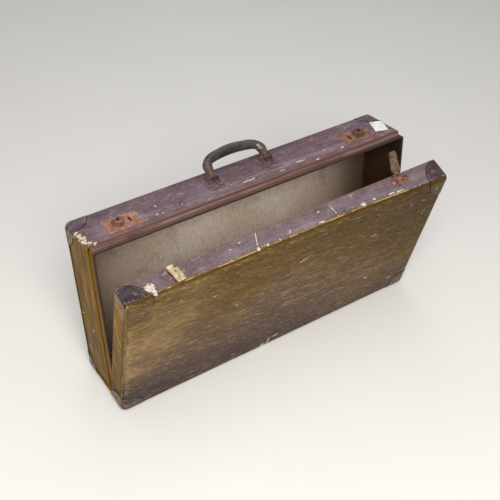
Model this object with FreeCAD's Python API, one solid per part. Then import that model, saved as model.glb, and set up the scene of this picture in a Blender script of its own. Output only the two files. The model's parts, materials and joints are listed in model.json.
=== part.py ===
import FreeCAD, Part
import math
import os

# Cardboard suitcase, standing half open on its hinge side. All lengths in millimetres.
# It is modelled closed and upright: X runs along the case, Y from the lid to the back of the base, Z up.
# The rims meet at Y = 0, the hinge side is the wall at Z = 0 and the locks are on the wall at the top.
# At the end the lid is opened and the case leans until base and lid both stand on the floor.

# Case
case_length = 620.0
case_width = 310.0
base_depth = 86.0
lid_depth = 44.0
rim_gap = 0.6
lid_opening_deg = 17.5
wall_corner_radius = 12.0
rim_corner_radius = 5.0
base_edge_radius = 10.0
lid_edge_radius = 10.0
base_board = 3.4
lid_board = 2.6
rim_board = 3.0
rim_proud = 17.0
rim_front_radius = 4.0
lining_board = 0.6
lining_edge_radius = 4.0
lining_setback = 1.2
lid_lining_setback = 4.0
flap_lap = 14.0
flap_step = 0.5

# Clearances
overrun = 6.0
curve_relief = 0.5
running_clearance = 0.05
moving_gap = 0.3

# Corner caps
base_cap_reach = 38.0
lid_cap_reach = 43.0
cap_sheet = 1.4
cap_sink = 0.7
cap_rivet_share = 0.52
cap_rivet_head_radius = 3.8
cap_rivet_head_height = 1.2
cap_rivet_shank_radius = 1.6

# Locks
lock_end_inset = 90.0
lock_plate_y = 29.5
lock_plate_length = 60.0
lock_plate_width = 38.0
lock_plate_sheet = 1.2
lock_plate_corner_radius = 3.0
lock_plate_bevel = 0.5
lock_slot_inset = 16.5
lock_slot_length = 15.0
lock_slot_width = 2.6
lock_rivet_inset = 5.0
lock_rivet_head_radius = 2.6
lock_rivet_head_height = 0.9
lock_rivet_shank_radius = 1.2
lock_case_depth = 9.0
lock_case_sheet = 0.8
lock_case_half_width = 10.0
lock_case_inner_reach = 7.0
lock_case_outer_reach = 34.0
lock_case_clearance = 0.15
knob_offset = 20.0
knob_travel = 4.5
knob_flange_radius = 11.5
knob_flange_sheet = 1.2
knob_boss_radius = 9.0
knob_height = 7.5
knob_round = 1.6
knob_foot_length = 5.6
knob_foot_width = 6.0
knob_lift = 0.1
keyhole_radius = 2.2
keyhole_depth = 5.0
keyhole_bit_width = 1.6
keyhole_bit_reach = 4.8
bolt_width = 5.0
bolt_sheet = 2.2
bolt_drop = 2.6
bolt_tip_reach = 2.4
bolt_tail_reach = 7.5
spring_leaf = 0.4
spring_width = 4.0
spring_chord = 16.0

# Hasps
hasp_axis_setback = 3.0
hasp_knuckle_radius = 2.0
hasp_pin_radius = 1.0
hasp_sheet = 1.1
hasp_length = 42.0
hasp_neck_width = 10.0
hasp_neck_length = 6.0
hasp_root_width = 18.0
hasp_tip_width = 12.5
hasp_tip_radius = 3.0
hasp_flange_depth = 1.7
hasp_flange_start = 8.0
hasp_left_deg = 160.0
hasp_right_deg = 50.0
hasp_plate_sheet = 1.2
hasp_plate_length = 36.0
hasp_plate_width = 17.0
hasp_plate_corner_radius = 8.0
hasp_plate_setback = 15.5
hasp_rivet_offset = 13.0
hasp_knuckle_outer = 9.0
hasp_knuckle_play = 0.2
hasp_rivet_head_radius = 3.4
hasp_rivet_head_height = 1.1
hasp_rivet_shank_radius = 1.4
staple_sheet = 1.8
staple_width = 11.0
staple_drop = 7.4
staple_corner_radius = 2.0
staple_window_width = 6.4
staple_window_play = 0.4

# Handle
bracket_x = 54.0
bracket_plate_length = 36.0
bracket_plate_width = 42.0
bracket_sheet = 1.2
bracket_corner_radius = 4.0
bracket_rivet_inset_x = 4.5
bracket_rivet_inset_y = 5.0
bracket_rivet_head_radius = 3.4
bracket_rivet_head_height = 1.2
bracket_rivet_shank_radius = 1.5
ear_gap = 17.0
ear_sheet = 1.3
ear_radius = 5.5
ear_front_reach = 13.0
ear_back_reach = 9.0
handle_pin_height = 9.5
handle_pin_setback = 8.0
handle_lean_deg = 57.0
handle_pin_radius = 2.2
handle_pin_head_radius = 3.6
handle_pin_head_height = 1.0
ferrule_eye_radius = 5.6
ferrule_eye_width = 14.0
ferrule_neck_radius = 5.8
ferrule_mouth_radius = 8.0
ferrule_height = 14.0
grip_rise = 35.0
grip_shoulder_radius = 16.0
grip_end_radius = 7.4
grip_shoulder_thickness_radius = 8.2
grip_top_radius = 9.2
grip_shoulder_shares = (0.0, 0.5, 1.0)
grip_crown_shares = (0.4, 0.8)

# Hinges
hinge_end_inset = 105.0
hinge_length = 50.0
hinge_leaf_width = 20.0
hinge_sheet = 1.2
hinge_knuckle_radius = 2.2
hinge_pin_radius = 1.2
hinge_middle_knuckle = 17.0
hinge_knuckle_play = 0.3
hinge_corner_radius = 2.0
hinge_rivet_inset_x = 8.0
hinge_rivet_setback = 12.0
hinge_rivet_head_radius = 2.8
hinge_rivet_head_height = 0.8
hinge_rivet_shank_radius = 1.3

# Paper label
label_length = 24.0
label_width = 35.0
label_sheet = 0.25
label_end_inset = 20.0
label_cap_inset = 15.0
label_turn_deg = -20.0

# Places that several pieces share
half_length = case_length / 2
lid_front_y = -rim_gap - lid_depth
lock_slot_x = half_length - lock_end_inset
hinge_x = half_length - hinge_end_inset
bracket_y = base_depth / 2
pivot_y = bracket_y + handle_pin_setback
cap_proud = cap_sheet - cap_sink
hinge_y = -rim_gap / 2
hinge_z = -hinge_knuckle_radius - moving_gap
hasp_axis_y = -rim_gap - hasp_axis_setback
hasp_axis_z = case_width + hasp_knuckle_radius + moving_gap
pivot_z = case_width + handle_pin_height
sides = {"left": -1, "right": 1}


def vec(x, y, z):
    return FreeCAD.Vector(x, y, z)


x_axis = vec(1, 0, 0)
y_axis = vec(0, 1, 0)
z_axis = vec(0, 0, 1)


def box(low, high):
    size = high - low
    return Part.makeBox(size.x, size.y, size.z, low)


def edges_along(shape, axis):
    # Straight edges that run along one axis.
    found = []
    for edge in shape.Edges:
        ends = [vertex.Point for vertex in edge.Vertexes]
        if len(ends) == 2 and abs(abs((ends[1] - ends[0]).dot(axis)) - edge.Length) < moving_gap:
            found.append(edge)
    return found


def edges_at(shape, axis, level):
    # Edges that lie in the plane at one level of an axis.
    found = []
    for edge in shape.Edges:
        levels = [point.dot(axis) for point in edge.discretize(3)]
        if max(abs(value - level) for value in levels) < running_clearance:
            found.append(edge)
    return found


def rounded_bar(half, low_z, high_z, open_y, closed_y, open_radius, closed_radius):
    # A bar along Y whose four long edges are rounded, each with one radius at either end.
    bar = box(vec(-half, min(open_y, closed_y), low_z), vec(half, max(open_y, closed_y), high_z))
    radii = (open_radius, closed_radius) if open_y < closed_y else (closed_radius, open_radius)
    return bar.makeFillet(*radii, edges_along(bar, y_axis))


def rounded_block(half, low_z, high_z, open_y, closed_y, open_radius, closed_radius, edge_radius):
    # The outer form of a tray: open at one Y, with a rounded outline at its closed panel.
    block = rounded_bar(half, low_z, high_z, open_y, closed_y, open_radius, closed_radius)
    return block.makeFillet(edge_radius, edges_at(block, y_axis, closed_y))


def base_block(grow, open_y):
    return rounded_block(half_length + grow, -grow, case_width + grow, open_y, base_depth + grow,
                         rim_corner_radius + grow, wall_corner_radius + grow, base_edge_radius + grow)


def lid_block(grow, open_y):
    return rounded_block(half_length + grow, -grow, case_width + grow, open_y, lid_front_y - grow,
                         rim_corner_radius + grow, wall_corner_radius + grow, lid_edge_radius + grow)


def turned(shape, direction, place):
    # Moves a shape built along +Z so that it points along a direction at a place.
    moved = shape.copy()
    moved.Placement = FreeCAD.Placement(place, FreeCAD.Rotation(z_axis, direction))
    return moved


def rivet(head_radius, head_height, shank_radius, shank_length):
    # A domed head that sits on Z = 0 and a shank below it.
    dome_radius = (head_radius ** 2 + head_height ** 2) / (2 * head_height)
    half_angle = math.asin(head_radius / dome_radius) / 2
    crown = vec(0, 0, head_height)
    rim = vec(head_radius, 0, 0)
    middle = vec(dome_radius * math.sin(half_angle), 0,
                 head_height - dome_radius + dome_radius * math.cos(half_angle))
    low_axis = vec(0, 0, -shank_length)
    low_edge = vec(shank_radius, 0, -shank_length)
    neck = vec(shank_radius, 0, 0)
    outline = Part.Wire([Part.makeLine(crown, low_axis), Part.makeLine(low_axis, low_edge),
                         Part.makeLine(low_edge, neck), Part.makeLine(neck, rim),
                         Part.Arc(rim, middle, crown).toShape()])
    return Part.Face(outline).revolve(vec(0, 0, 0), z_axis, 360)


def rivet_hole(shank_radius, shank_length):
    return Part.makeCylinder(shank_radius + running_clearance, shank_length + 2 * overrun,
                             vec(0, 0, -shank_length - overrun))


class RivetSet:
    # Rivets of one kind at chosen places, and the holes for them.
    def __init__(self, head_radius, head_height, shank_radius, shank_length, places):
        head = rivet(head_radius, head_height, shank_radius, shank_length)
        hole = rivet_hole(shank_radius, shank_length)
        self.solids = [turned(head, direction, place) for place, direction in places]
        self.holes = [turned(hole, direction, place) for place, direction in places]

    def through(self, shape):
        return shape.cut(Part.makeCompound(self.holes))

    def group(self):
        return Part.makeCompound(self.solids)


def plate(length, width, sheet, corner_radius, centre):
    # A flat plate with rounded corners that stands on its centre's Z.
    corner = vec(length / 2, width / 2, 0)
    sheet_box = box(centre - corner, centre + corner + vec(0, 0, sheet))
    return sheet_box.makeFillet(corner_radius, edges_along(sheet_box, z_axis))


def round_slot(length, width, low_z, high_z, centre):
    # A cutter along Y with round ends.
    reach = length / 2 - width / 2
    bar = box(centre + vec(-width / 2, -reach, low_z), centre + vec(width / 2, reach, high_z))
    ends = [Part.makeCylinder(width / 2, high_z - low_z, centre + vec(0, end * reach, low_z))
            for end in (-1, 1)]
    return bar.fuse(ends)


def mirrored(shape, side):
    # Pieces are drawn for the right side and mirrored to the left.
    if side > 0:
        return shape
    return shape.mirror(vec(0, 0, 0), x_axis)


def base_shell():
    shell = base_block(0, 0).cut(base_block(-base_board, -overrun))
    return with_lapped_ends(shell, -overrun, base_depth - flap_lap)


def lid_shell():
    shell = lid_block(0, -rim_gap).cut(lid_block(-lid_board, overrun))
    return with_lapped_ends(shell, lid_front_y + flap_lap, overrun)


def with_lapped_ends(shell, low_y, high_y):
    # Top, bottom and panel boards wrap a little way over the ends, so the end boards lie a step lower.
    for side in sides.values():
        inner = side * (half_length - flap_step)
        outer = side * (half_length + overrun)
        step = box(vec(min(inner, outer), low_y, flap_lap),
                   vec(max(inner, outer), high_y, case_width - flap_lap))
        shell = shell.cut(step)
    return shell


def inner_rim():
    inset = base_board
    back_radius = wall_corner_radius - base_board + curve_relief
    back = base_depth - base_edge_radius
    outer = rounded_bar(half_length - inset, inset, case_width - inset, -rim_proud, back,
                        rim_front_radius, back_radius)
    inset += rim_board
    inner = rounded_bar(half_length - inset, inset, case_width - inset, -rim_proud - overrun, back + overrun,
                        rim_front_radius - rim_board, back_radius - rim_board)
    return outer.cut(inner)


def lining_tray(inset, open_y, closed_y, corner_radius, edge_radius):
    # A thin tray, open towards the other half of the case.
    outward = math.copysign(1, closed_y - open_y)
    outer = rounded_block(half_length - inset, inset, case_width - inset, open_y, closed_y,
                          corner_radius, corner_radius, edge_radius)
    deeper = inset + lining_board
    inner = rounded_block(half_length - deeper, deeper, case_width - deeper, open_y - outward * overrun,
                          closed_y - outward * lining_board, corner_radius - lining_board,
                          corner_radius - lining_board, edge_radius - lining_board)
    return outer.cut(inner)


def base_lining():
    inset = base_board + rim_board
    corner_radius = wall_corner_radius - inset + 2 * curve_relief
    return lining_tray(inset, lining_setback - rim_proud, base_depth - base_board, corner_radius,
                       lining_edge_radius)


def lid_lining():
    open_y = -rim_gap - rim_proud - lid_lining_setback
    return lining_tray(lid_board, open_y, lid_front_y + lid_board,
                       wall_corner_radius - lid_board + curve_relief,
                       lid_edge_radius - lid_board + curve_relief)


def corner_cap(block, open_y, corner, reach):
    # A three-lobed cap: the skin of the rounded corner, out to a round edge.
    skin = block(cap_proud, open_y).cut(block(-cap_sink, open_y))
    return skin.common(Part.makeSphere(reach, corner))


def cap_rivet_places(corner, inward_y, inset):
    # One rivet on each of the three faces that meet at a corner.
    out_x = math.copysign(1, corner.x)
    out_z = math.copysign(1, corner.z - case_width / 2)
    out_y = -inward_y
    inside = corner - vec(out_x * inset, out_y * inset, out_z * inset)
    return [(vec(corner.x + out_x * cap_proud, inside.y, inside.z), vec(out_x, 0, 0)),
            (vec(inside.x, corner.y + out_y * cap_proud, inside.z), vec(0, out_y, 0)),
            (vec(inside.x, inside.y, corner.z + out_z * cap_proud), vec(0, 0, out_z))]


def capped(shell, name, block, open_y, closed_y, inward_y, board, reach, nodes):
    # Seats four caps on a shell, rivets them down and returns the shell with its seats and holes.
    places = []
    caps = {}
    for level, z in (("bottom", 0), ("top", case_width)):
        for side, sign in sides.items():
            corner = vec(sign * half_length, closed_y, z)
            caps[f"{name}_cap_{level}_{side}"] = corner_cap(block, open_y, corner, reach)
            places += cap_rivet_places(corner, inward_y, cap_rivet_share * reach)
    rivets = RivetSet(cap_rivet_head_radius, cap_rivet_head_height, cap_rivet_shank_radius,
                      cap_proud + board, places)
    for node, cap in caps.items():
        shell = shell.cut(cap)
        nodes[node] = rivets.through(cap)
    nodes[f"{name}_cap_rivets"] = rivets.group()
    return rivets.through(shell)


def lock_centre():
    # Middle of the right lock plate, on the wall.
    return vec(lock_slot_x - lock_slot_inset + lock_plate_length / 2, lock_plate_y, case_width)


def knob_centre():
    return vec(lock_slot_x + knob_offset, lock_plate_y, case_width)


def slot_centre():
    return vec(lock_slot_x, lock_plate_y, case_width)


def lock_plate():
    body = plate(lock_plate_length, lock_plate_width, lock_plate_sheet, lock_plate_corner_radius,
                 lock_centre())
    body = body.makeChamfer(lock_plate_bevel, edges_at(body, z_axis, case_width + lock_plate_sheet))
    staple_slot = round_slot(lock_slot_length, lock_slot_width, -overrun, overrun, slot_centre())
    half = vec(knob_foot_length / 2 + moving_gap, knob_foot_width / 2 + moving_gap, overrun)
    knob_slot = box(knob_centre() - half, knob_centre() + half + vec(knob_travel, 0, 0))
    return body.cut([staple_slot, knob_slot])


def lock_rivets(side):
    places = []
    for along in (-1, 1):
        for across in (-1, 1):
            offset = vec(along * (lock_plate_length / 2 - lock_rivet_inset),
                         across * (lock_plate_width / 2 - lock_rivet_inset), lock_plate_sheet)
            spot = lock_centre() + offset
            places.append((vec(side * spot.x, spot.y, spot.z), z_axis))
    return RivetSet(lock_rivet_head_radius, lock_rivet_head_height, lock_rivet_shank_radius,
                    lock_plate_sheet + base_board, places)


def lock_case_box(grow, depth):
    inner = lock_slot_x - lock_case_inner_reach - grow
    outer = lock_slot_x + lock_case_outer_reach + grow
    half = lock_case_half_width + grow
    return box(vec(inner, lock_plate_y - half, case_width - depth),
               vec(outer, lock_plate_y + half, case_width))


def lock_case():
    hollow = lock_case_box(-lock_case_sheet, lock_case_depth - lock_case_sheet)
    return lock_case_box(0, lock_case_depth).cut(hollow)


def lock_window(side):
    # The opening in wall, rim and lining that the lock case sits in.
    window = lock_case_box(lock_case_clearance, lock_case_depth + overrun)
    return mirrored(window.fuse(window.translated(vec(0, 0, overrun))), side)


def lock_knob():
    # A flange that rides on the plate, a round boss with a keyhole and a foot that reaches the bolt.
    seat = vec(0, 0, lock_plate_sheet + knob_lift)
    flange = Part.makeCylinder(knob_flange_radius, knob_flange_sheet, knob_centre() + seat)
    boss = Part.makeCylinder(knob_boss_radius, knob_height, knob_centre() + seat)
    boss = boss.makeFillet(knob_round, edges_at(boss, z_axis, case_width + seat.z + knob_height))
    foot_half = vec(knob_foot_length / 2, knob_foot_width / 2, 0)
    foot = box(knob_centre() - foot_half - vec(0, 0, bolt_drop), knob_centre() + foot_half + seat)
    mouth = knob_centre() + seat + vec(0, 0, knob_height - keyhole_depth)
    bore = Part.makeCylinder(keyhole_radius, keyhole_depth + overrun, mouth)
    bit = box(mouth - vec(keyhole_bit_width / 2, 0, 0),
              mouth + vec(keyhole_bit_width / 2, keyhole_bit_reach, keyhole_depth + overrun))
    return flange.fuse([boss, foot]).removeSplitter().cut(bore.fuse(bit))


def lock_bolt():
    tip = lock_slot_x - bolt_tip_reach
    tail = lock_slot_x + knob_offset + bolt_tail_reach
    top = case_width - bolt_drop
    return box(vec(tip, lock_plate_y - bolt_width / 2, top - bolt_sheet),
               vec(tail, lock_plate_y + bolt_width / 2, top))


def lock_spring():
    # A bowed leaf between the bolt's tail and the end of the lock case.
    crown = lock_slot_x + knob_offset + bolt_tail_reach
    back = lock_slot_x + lock_case_outer_reach - lock_case_sheet
    rise = back - crown - spring_leaf
    half = spring_chord / 2
    inner_radius = (half ** 2 + rise ** 2) / (2 * rise)
    middle_z = case_width - bolt_drop - bolt_sheet / 2
    centre = vec(crown + spring_leaf + inner_radius, lock_plate_y, middle_z - spring_width / 2)
    ring = Part.makeCylinder(inner_radius + spring_leaf, spring_width, centre)
    ring = ring.cut(Part.makeCylinder(inner_radius, spring_width, centre))
    keep = box(vec(crown - overrun, lock_plate_y - half, centre.z),
               vec(back, lock_plate_y + half, centre.z + spring_width))
    return ring.common(keep)


def hasp_plate():
    # A long round plate on the lid's wall, with two tongues that carry the knuckles.
    centre = vec(lock_slot_x, -rim_gap, case_width)
    body = plate(hasp_plate_length, hasp_plate_width, hasp_plate_sheet, hasp_plate_corner_radius,
                 centre - vec(0, hasp_plate_setback, 0))
    pieces = []
    for sign in sides.values():
        near = hasp_neck_width / 2 + hasp_knuckle_play
        low = min(sign * near, sign * hasp_knuckle_outer)
        high = max(sign * near, sign * hasp_knuckle_outer)
        pieces.append(box(centre + vec(low, -hasp_plate_setback, 0),
                          centre + vec(high, -hasp_axis_setback, hasp_plate_sheet)))
        pieces.append(Part.makeCylinder(hasp_knuckle_radius, high - low,
                                        vec(lock_slot_x + low, hasp_axis_y, hasp_axis_z), x_axis))
    return body.fuse(pieces).removeSplitter().cut(hasp_bore())


def hasp_bore():
    reach = hasp_knuckle_outer + overrun
    return Part.makeCylinder(hasp_pin_radius + running_clearance, 2 * reach,
                             vec(lock_slot_x - reach, hasp_axis_y, hasp_axis_z), x_axis)


def hasp_pin():
    return Part.makeCylinder(hasp_pin_radius, 2 * hasp_knuckle_outer,
                             vec(lock_slot_x - hasp_knuckle_outer, hasp_axis_y, hasp_axis_z), x_axis)


def hasp_rivets(side):
    spots = [vec(side * (lock_slot_x + sign * hasp_rivet_offset), -rim_gap - hasp_plate_setback,
                 case_width + hasp_plate_sheet) for sign in sides.values()]
    return RivetSet(hasp_rivet_head_radius, hasp_rivet_head_height, hasp_rivet_shank_radius,
                    hasp_plate_sheet + lid_board, [(spot, z_axis) for spot in spots])


def strap_outline(margin, start, end, z):
    # The tapered outline of the strap, narrowed by a margin on both long sides.
    taper = (hasp_root_width - hasp_tip_width) / (hasp_length - hasp_neck_length)
    ends = []
    for along in (start, end):
        ends.append((along, (hasp_root_width - taper * (along - hasp_neck_length)) / 2 - margin))
    points = [vec(lock_slot_x - ends[0][1], hasp_axis_y + ends[0][0], z),
              vec(lock_slot_x + ends[0][1], hasp_axis_y + ends[0][0], z),
              vec(lock_slot_x + ends[1][1], hasp_axis_y + ends[1][0], z),
              vec(lock_slot_x - ends[1][1], hasp_axis_y + ends[1][0], z)]
    return Part.Face(Part.makePolygon(points + points[:1]))


def hasp_strap():
    # A pressed channel that tapers to its tip, with a curled knuckle at its root.
    top = hasp_axis_z + hasp_knuckle_radius
    under = top - hasp_sheet
    web = strap_outline(0, hasp_neck_length, hasp_length, under).extrude(vec(0, 0, hasp_sheet))
    tip = [edge for edge in edges_along(web, z_axis)
           if edge.CenterOfMass.y > hasp_axis_y + hasp_length - moving_gap]
    web = web.makeFillet(hasp_tip_radius, tip)
    neck = box(vec(lock_slot_x - hasp_neck_width / 2, hasp_axis_y, under),
               vec(lock_slot_x + hasp_neck_width / 2, hasp_axis_y + hasp_neck_length, top))
    knuckle = Part.makeCylinder(hasp_knuckle_radius, hasp_neck_width,
                                vec(lock_slot_x - hasp_neck_width / 2, hasp_axis_y, hasp_axis_z), x_axis)
    flange_end = hasp_length - hasp_tip_radius
    low = under - hasp_flange_depth
    skirt = strap_outline(0, hasp_flange_start, flange_end, low).extrude(vec(0, 0, hasp_flange_depth))
    hollow = strap_outline(hasp_sheet, hasp_flange_start - overrun, flange_end + overrun, low)
    skirt = skirt.cut(hollow.extrude(vec(0, 0, hasp_flange_depth)))
    return web.fuse([neck, knuckle, skirt]).removeSplitter().cut(hasp_bore())


def hasp_staple():
    # A flat loop under the strap; the bolt passes through its window.
    top = hasp_axis_z + hasp_knuckle_radius - hasp_sheet
    loop = box(vec(lock_slot_x - staple_sheet / 2, lock_plate_y - staple_width / 2, case_width - staple_drop),
               vec(lock_slot_x + staple_sheet / 2, lock_plate_y + staple_width / 2, top))
    foot = [edge for edge in edges_along(loop, x_axis)
            if edge.CenterOfMass.z < case_width - staple_drop + moving_gap]
    loop = loop.makeFillet(staple_corner_radius, foot)
    window_top = case_width - bolt_drop + staple_window_play
    window_low = case_width - bolt_drop - bolt_sheet - staple_window_play
    window = box(vec(lock_slot_x - overrun, lock_plate_y - staple_window_width / 2, window_low),
                 vec(lock_slot_x + overrun, lock_plate_y + staple_window_width / 2, window_top))
    return loop.cut(window)


def tangent_point(point, centre, radius, turn):
    # Where a line from a point in the YZ plane touches a circle.
    away = point - centre
    angle = math.atan2(away.z, away.y) + turn * math.acos(radius / away.Length)
    return centre + vec(0, radius * math.cos(angle), radius * math.sin(angle))


def bracket_ear(x):
    # An upstanding ear, round over the pin and sloping down to the front.
    foot_z = case_width
    pin = vec(x, pivot_y, pivot_z)
    front = vec(x, pivot_y - ear_front_reach, foot_z)
    back = vec(x, pivot_y + ear_back_reach, foot_z)
    front_touch = tangent_point(front, pin, ear_radius, -1)
    back_touch = tangent_point(back, pin, ear_radius, 1)
    crown = pin + vec(0, 0, ear_radius)
    outline = Part.Wire([Part.makeLine(back, front), Part.makeLine(front, front_touch),
                         Part.Arc(front_touch, crown, back_touch).toShape(), Part.makeLine(back_touch, back)])
    return Part.Face(outline).extrude(vec(ear_sheet, 0, 0))


def handle_bracket():
    body = plate(bracket_plate_length, bracket_plate_width, bracket_sheet, bracket_corner_radius,
                 vec(bracket_x, bracket_y, case_width))
    ears = [bracket_ear(bracket_x - ear_gap / 2 - ear_sheet), bracket_ear(bracket_x + ear_gap / 2)]
    return body.fuse(ears).removeSplitter().cut(pin_bore())


def pin_bore():
    reach = ear_gap / 2 + ear_sheet + overrun
    return Part.makeCylinder(handle_pin_radius + running_clearance, 2 * reach,
                             vec(bracket_x - reach, pivot_y, pivot_z), x_axis)


def handle_pin():
    # A pin through both ears with a flat head on each end.
    reach = ear_gap / 2 + ear_sheet
    pin = Part.makeCylinder(handle_pin_radius, 2 * reach, vec(bracket_x - reach, pivot_y, pivot_z), x_axis)
    heads = []
    for start in (bracket_x - reach - handle_pin_head_height, bracket_x + reach):
        heads.append(Part.makeCylinder(handle_pin_head_radius, handle_pin_head_height,
                                       vec(start, pivot_y, pivot_z), x_axis))
    return pin.fuse(heads).removeSplitter()


def bracket_rivets():
    places = []
    for side in sides.values():
        for along in (-1, 1):
            for across in (-1, 1):
                spot = vec(side * bracket_x + along * (bracket_plate_length / 2 - bracket_rivet_inset_x),
                           bracket_y + across * (bracket_plate_width / 2 - bracket_rivet_inset_y),
                           case_width + bracket_sheet)
                places.append((spot, z_axis))
    return RivetSet(bracket_rivet_head_radius, bracket_rivet_head_height, bracket_rivet_shank_radius,
                    bracket_sheet + base_board, places)


def handle_ferrule():
    # A flared metal end with an eye for the pin.
    eye = Part.makeCylinder(ferrule_eye_radius, ferrule_eye_width,
                            vec(bracket_x - ferrule_eye_width / 2, pivot_y, pivot_z), x_axis)
    flare = Part.makeCone(ferrule_neck_radius, ferrule_mouth_radius, ferrule_height,
                          vec(bracket_x, pivot_y, pivot_z), z_axis)
    return eye.fuse(flare).removeSplitter().cut(pin_bore())


def grip_section(angle, point, radius):
    # A round section square to the grip's centre line.
    ring = Part.Wire([Part.makeCircle(radius)])
    ring.Placement = FreeCAD.Placement(point, FreeCAD.Rotation(y_axis, angle))
    return ring


def handle_grip():
    # Round sections along an arch: a tight arc at each shoulder and one wide arc over the top.
    span = bracket_x - grip_shoulder_radius
    climb = grip_rise - ferrule_height - grip_shoulder_radius
    shoulder_deg = 2 * (math.degrees(math.atan2(span, climb)) - 45)
    crown_radius = grip_shoulder_radius + span / math.cos(math.radians(shoulder_deg))
    foot = vec(-bracket_x, pivot_y, pivot_z + ferrule_height)
    shoulder = foot + vec(grip_shoulder_radius, 0, 0)
    crown = vec(0, pivot_y, pivot_z + grip_rise - crown_radius)
    half = []
    for share in grip_shoulder_shares:
        turn = share * shoulder_deg
        swing = vec(-math.cos(math.radians(turn)), 0, math.sin(math.radians(turn)))
        radius = grip_end_radius + share * (grip_shoulder_thickness_radius - grip_end_radius)
        half.append((turn, shoulder + swing * grip_shoulder_radius, radius))
    for share in grip_crown_shares:
        turn = shoulder_deg + share * (90 - shoulder_deg)
        swing = vec(-math.cos(math.radians(turn)), 0, math.sin(math.radians(turn)))
        radius = grip_shoulder_thickness_radius + share * (grip_top_radius - grip_shoulder_thickness_radius)
        half.append((turn, crown + swing * crown_radius, radius))
    rings = [grip_section(turn, point, radius) for turn, point, radius in half]
    rings += [grip_section(180 - turn, vec(-point.x, point.y, point.z), radius)
              for turn, point, radius in reversed(half)]
    return Part.makeLoft(rings, True)


def hinge_knuckle_spans(leaf):
    # The base leaf has the two outer knuckles and the lid leaf the middle one.
    half = hinge_middle_knuckle / 2
    if leaf == "lid":
        return [(hinge_x - half, hinge_x + half)]
    return [(hinge_x - hinge_length / 2, hinge_x - half - hinge_knuckle_play),
            (hinge_x + half + hinge_knuckle_play, hinge_x + hinge_length / 2)]


def hinge_leaf(leaf):
    out = -1 if leaf == "lid" else 1
    near = hinge_y + out * (hinge_knuckle_radius + moving_gap)
    far = hinge_y + out * hinge_leaf_width
    body = box(vec(hinge_x - hinge_length / 2, min(near, far), -hinge_sheet),
               vec(hinge_x + hinge_length / 2, max(near, far), 0))
    far_corners = [edge for edge in edges_along(body, z_axis) if abs(edge.CenterOfMass.y - far) < moving_gap]
    body = body.makeFillet(hinge_corner_radius, far_corners)
    pieces = []
    for low, high in hinge_knuckle_spans(leaf):
        pieces.append(box(vec(low, min(hinge_y, near), -hinge_sheet), vec(high, max(hinge_y, near), 0)))
        pieces.append(Part.makeCylinder(hinge_knuckle_radius, high - low, vec(low, hinge_y, hinge_z), x_axis))
    bore = Part.makeCylinder(hinge_pin_radius + running_clearance, hinge_length + 2 * overrun,
                             vec(hinge_x - hinge_length / 2 - overrun, hinge_y, hinge_z), x_axis)
    return body.fuse(pieces).removeSplitter().cut(bore)


def hinge_pin():
    return Part.makeCylinder(hinge_pin_radius, hinge_length,
                             vec(hinge_x - hinge_length / 2, hinge_y, hinge_z), x_axis)


def hinge_rivets(leaf, board):
    out = -1 if leaf == "lid" else 1
    places = []
    for side in sides.values():
        for along in (-1, 1):
            x = side * hinge_x + along * (hinge_length / 2 - hinge_rivet_inset_x)
            places.append((vec(x, hinge_y + out * hinge_rivet_setback, -hinge_sheet), vec(0, 0, -1)))
    return RivetSet(hinge_rivet_head_radius, hinge_rivet_head_height, hinge_rivet_shank_radius,
                    hinge_sheet + board, places)


def paper_label():
    # A blank paper sticker, a little askew, that follows the rounded edge of the wall.
    skin = base_block(label_sheet, 0).cut(base_block(0, 0))
    low = vec(-label_length / 2, -label_width / 2, -wall_corner_radius)
    high = vec(label_length / 2, label_width / 2, overrun)
    sticker = box(low, high)
    middle = vec(half_length - label_end_inset, base_depth - base_cap_reach - label_cap_inset, case_width)
    sticker.Placement = FreeCAD.Placement(middle, FreeCAD.Rotation(z_axis, label_turn_deg)).multiply(
        sticker.Placement)
    return skin.common(sticker)


def build_base():
    nodes = {}
    shell = capped(base_shell(), "base", base_block, 0, base_depth, -1, base_board, base_cap_reach, nodes)
    rim = inner_rim()
    lining = base_lining()
    for name, side in sides.items():
        rivets = lock_rivets(side)
        window = lock_window(side)
        shell = rivets.through(shell.cut(window))
        rim = rim.cut(window)
        lining = lining.cut(window)
        nodes[f"lock_plate_{name}"] = rivets.through(mirrored(lock_plate(), side))
        nodes[f"lock_plate_rivets_{name}"] = rivets.group()
        nodes[f"lock_case_{name}"] = mirrored(lock_case(), side)
        nodes[f"lock_spring_{name}"] = mirrored(lock_spring(), side)
        nodes[f"hinge_pin_{name}"] = mirrored(hinge_pin(), side)
        nodes[f"handle_pin_{name}"] = mirrored(handle_pin(), side)
    leaf_rivets = hinge_rivets("base", base_board)
    handle_rivets = bracket_rivets()
    for name, side in sides.items():
        nodes[f"hinge_base_leaf_{name}"] = leaf_rivets.through(mirrored(hinge_leaf("base"), side))
        nodes[f"handle_bracket_{name}"] = handle_rivets.through(mirrored(handle_bracket(), side))
    nodes["hinge_base_rivets"] = leaf_rivets.group()
    nodes["handle_bracket_rivets"] = handle_rivets.group()
    nodes["base_shell"] = handle_rivets.through(leaf_rivets.through(shell))
    nodes["inner_rim"] = rim
    nodes["base_lining"] = lining
    nodes["paper_label"] = paper_label()
    return nodes


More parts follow.
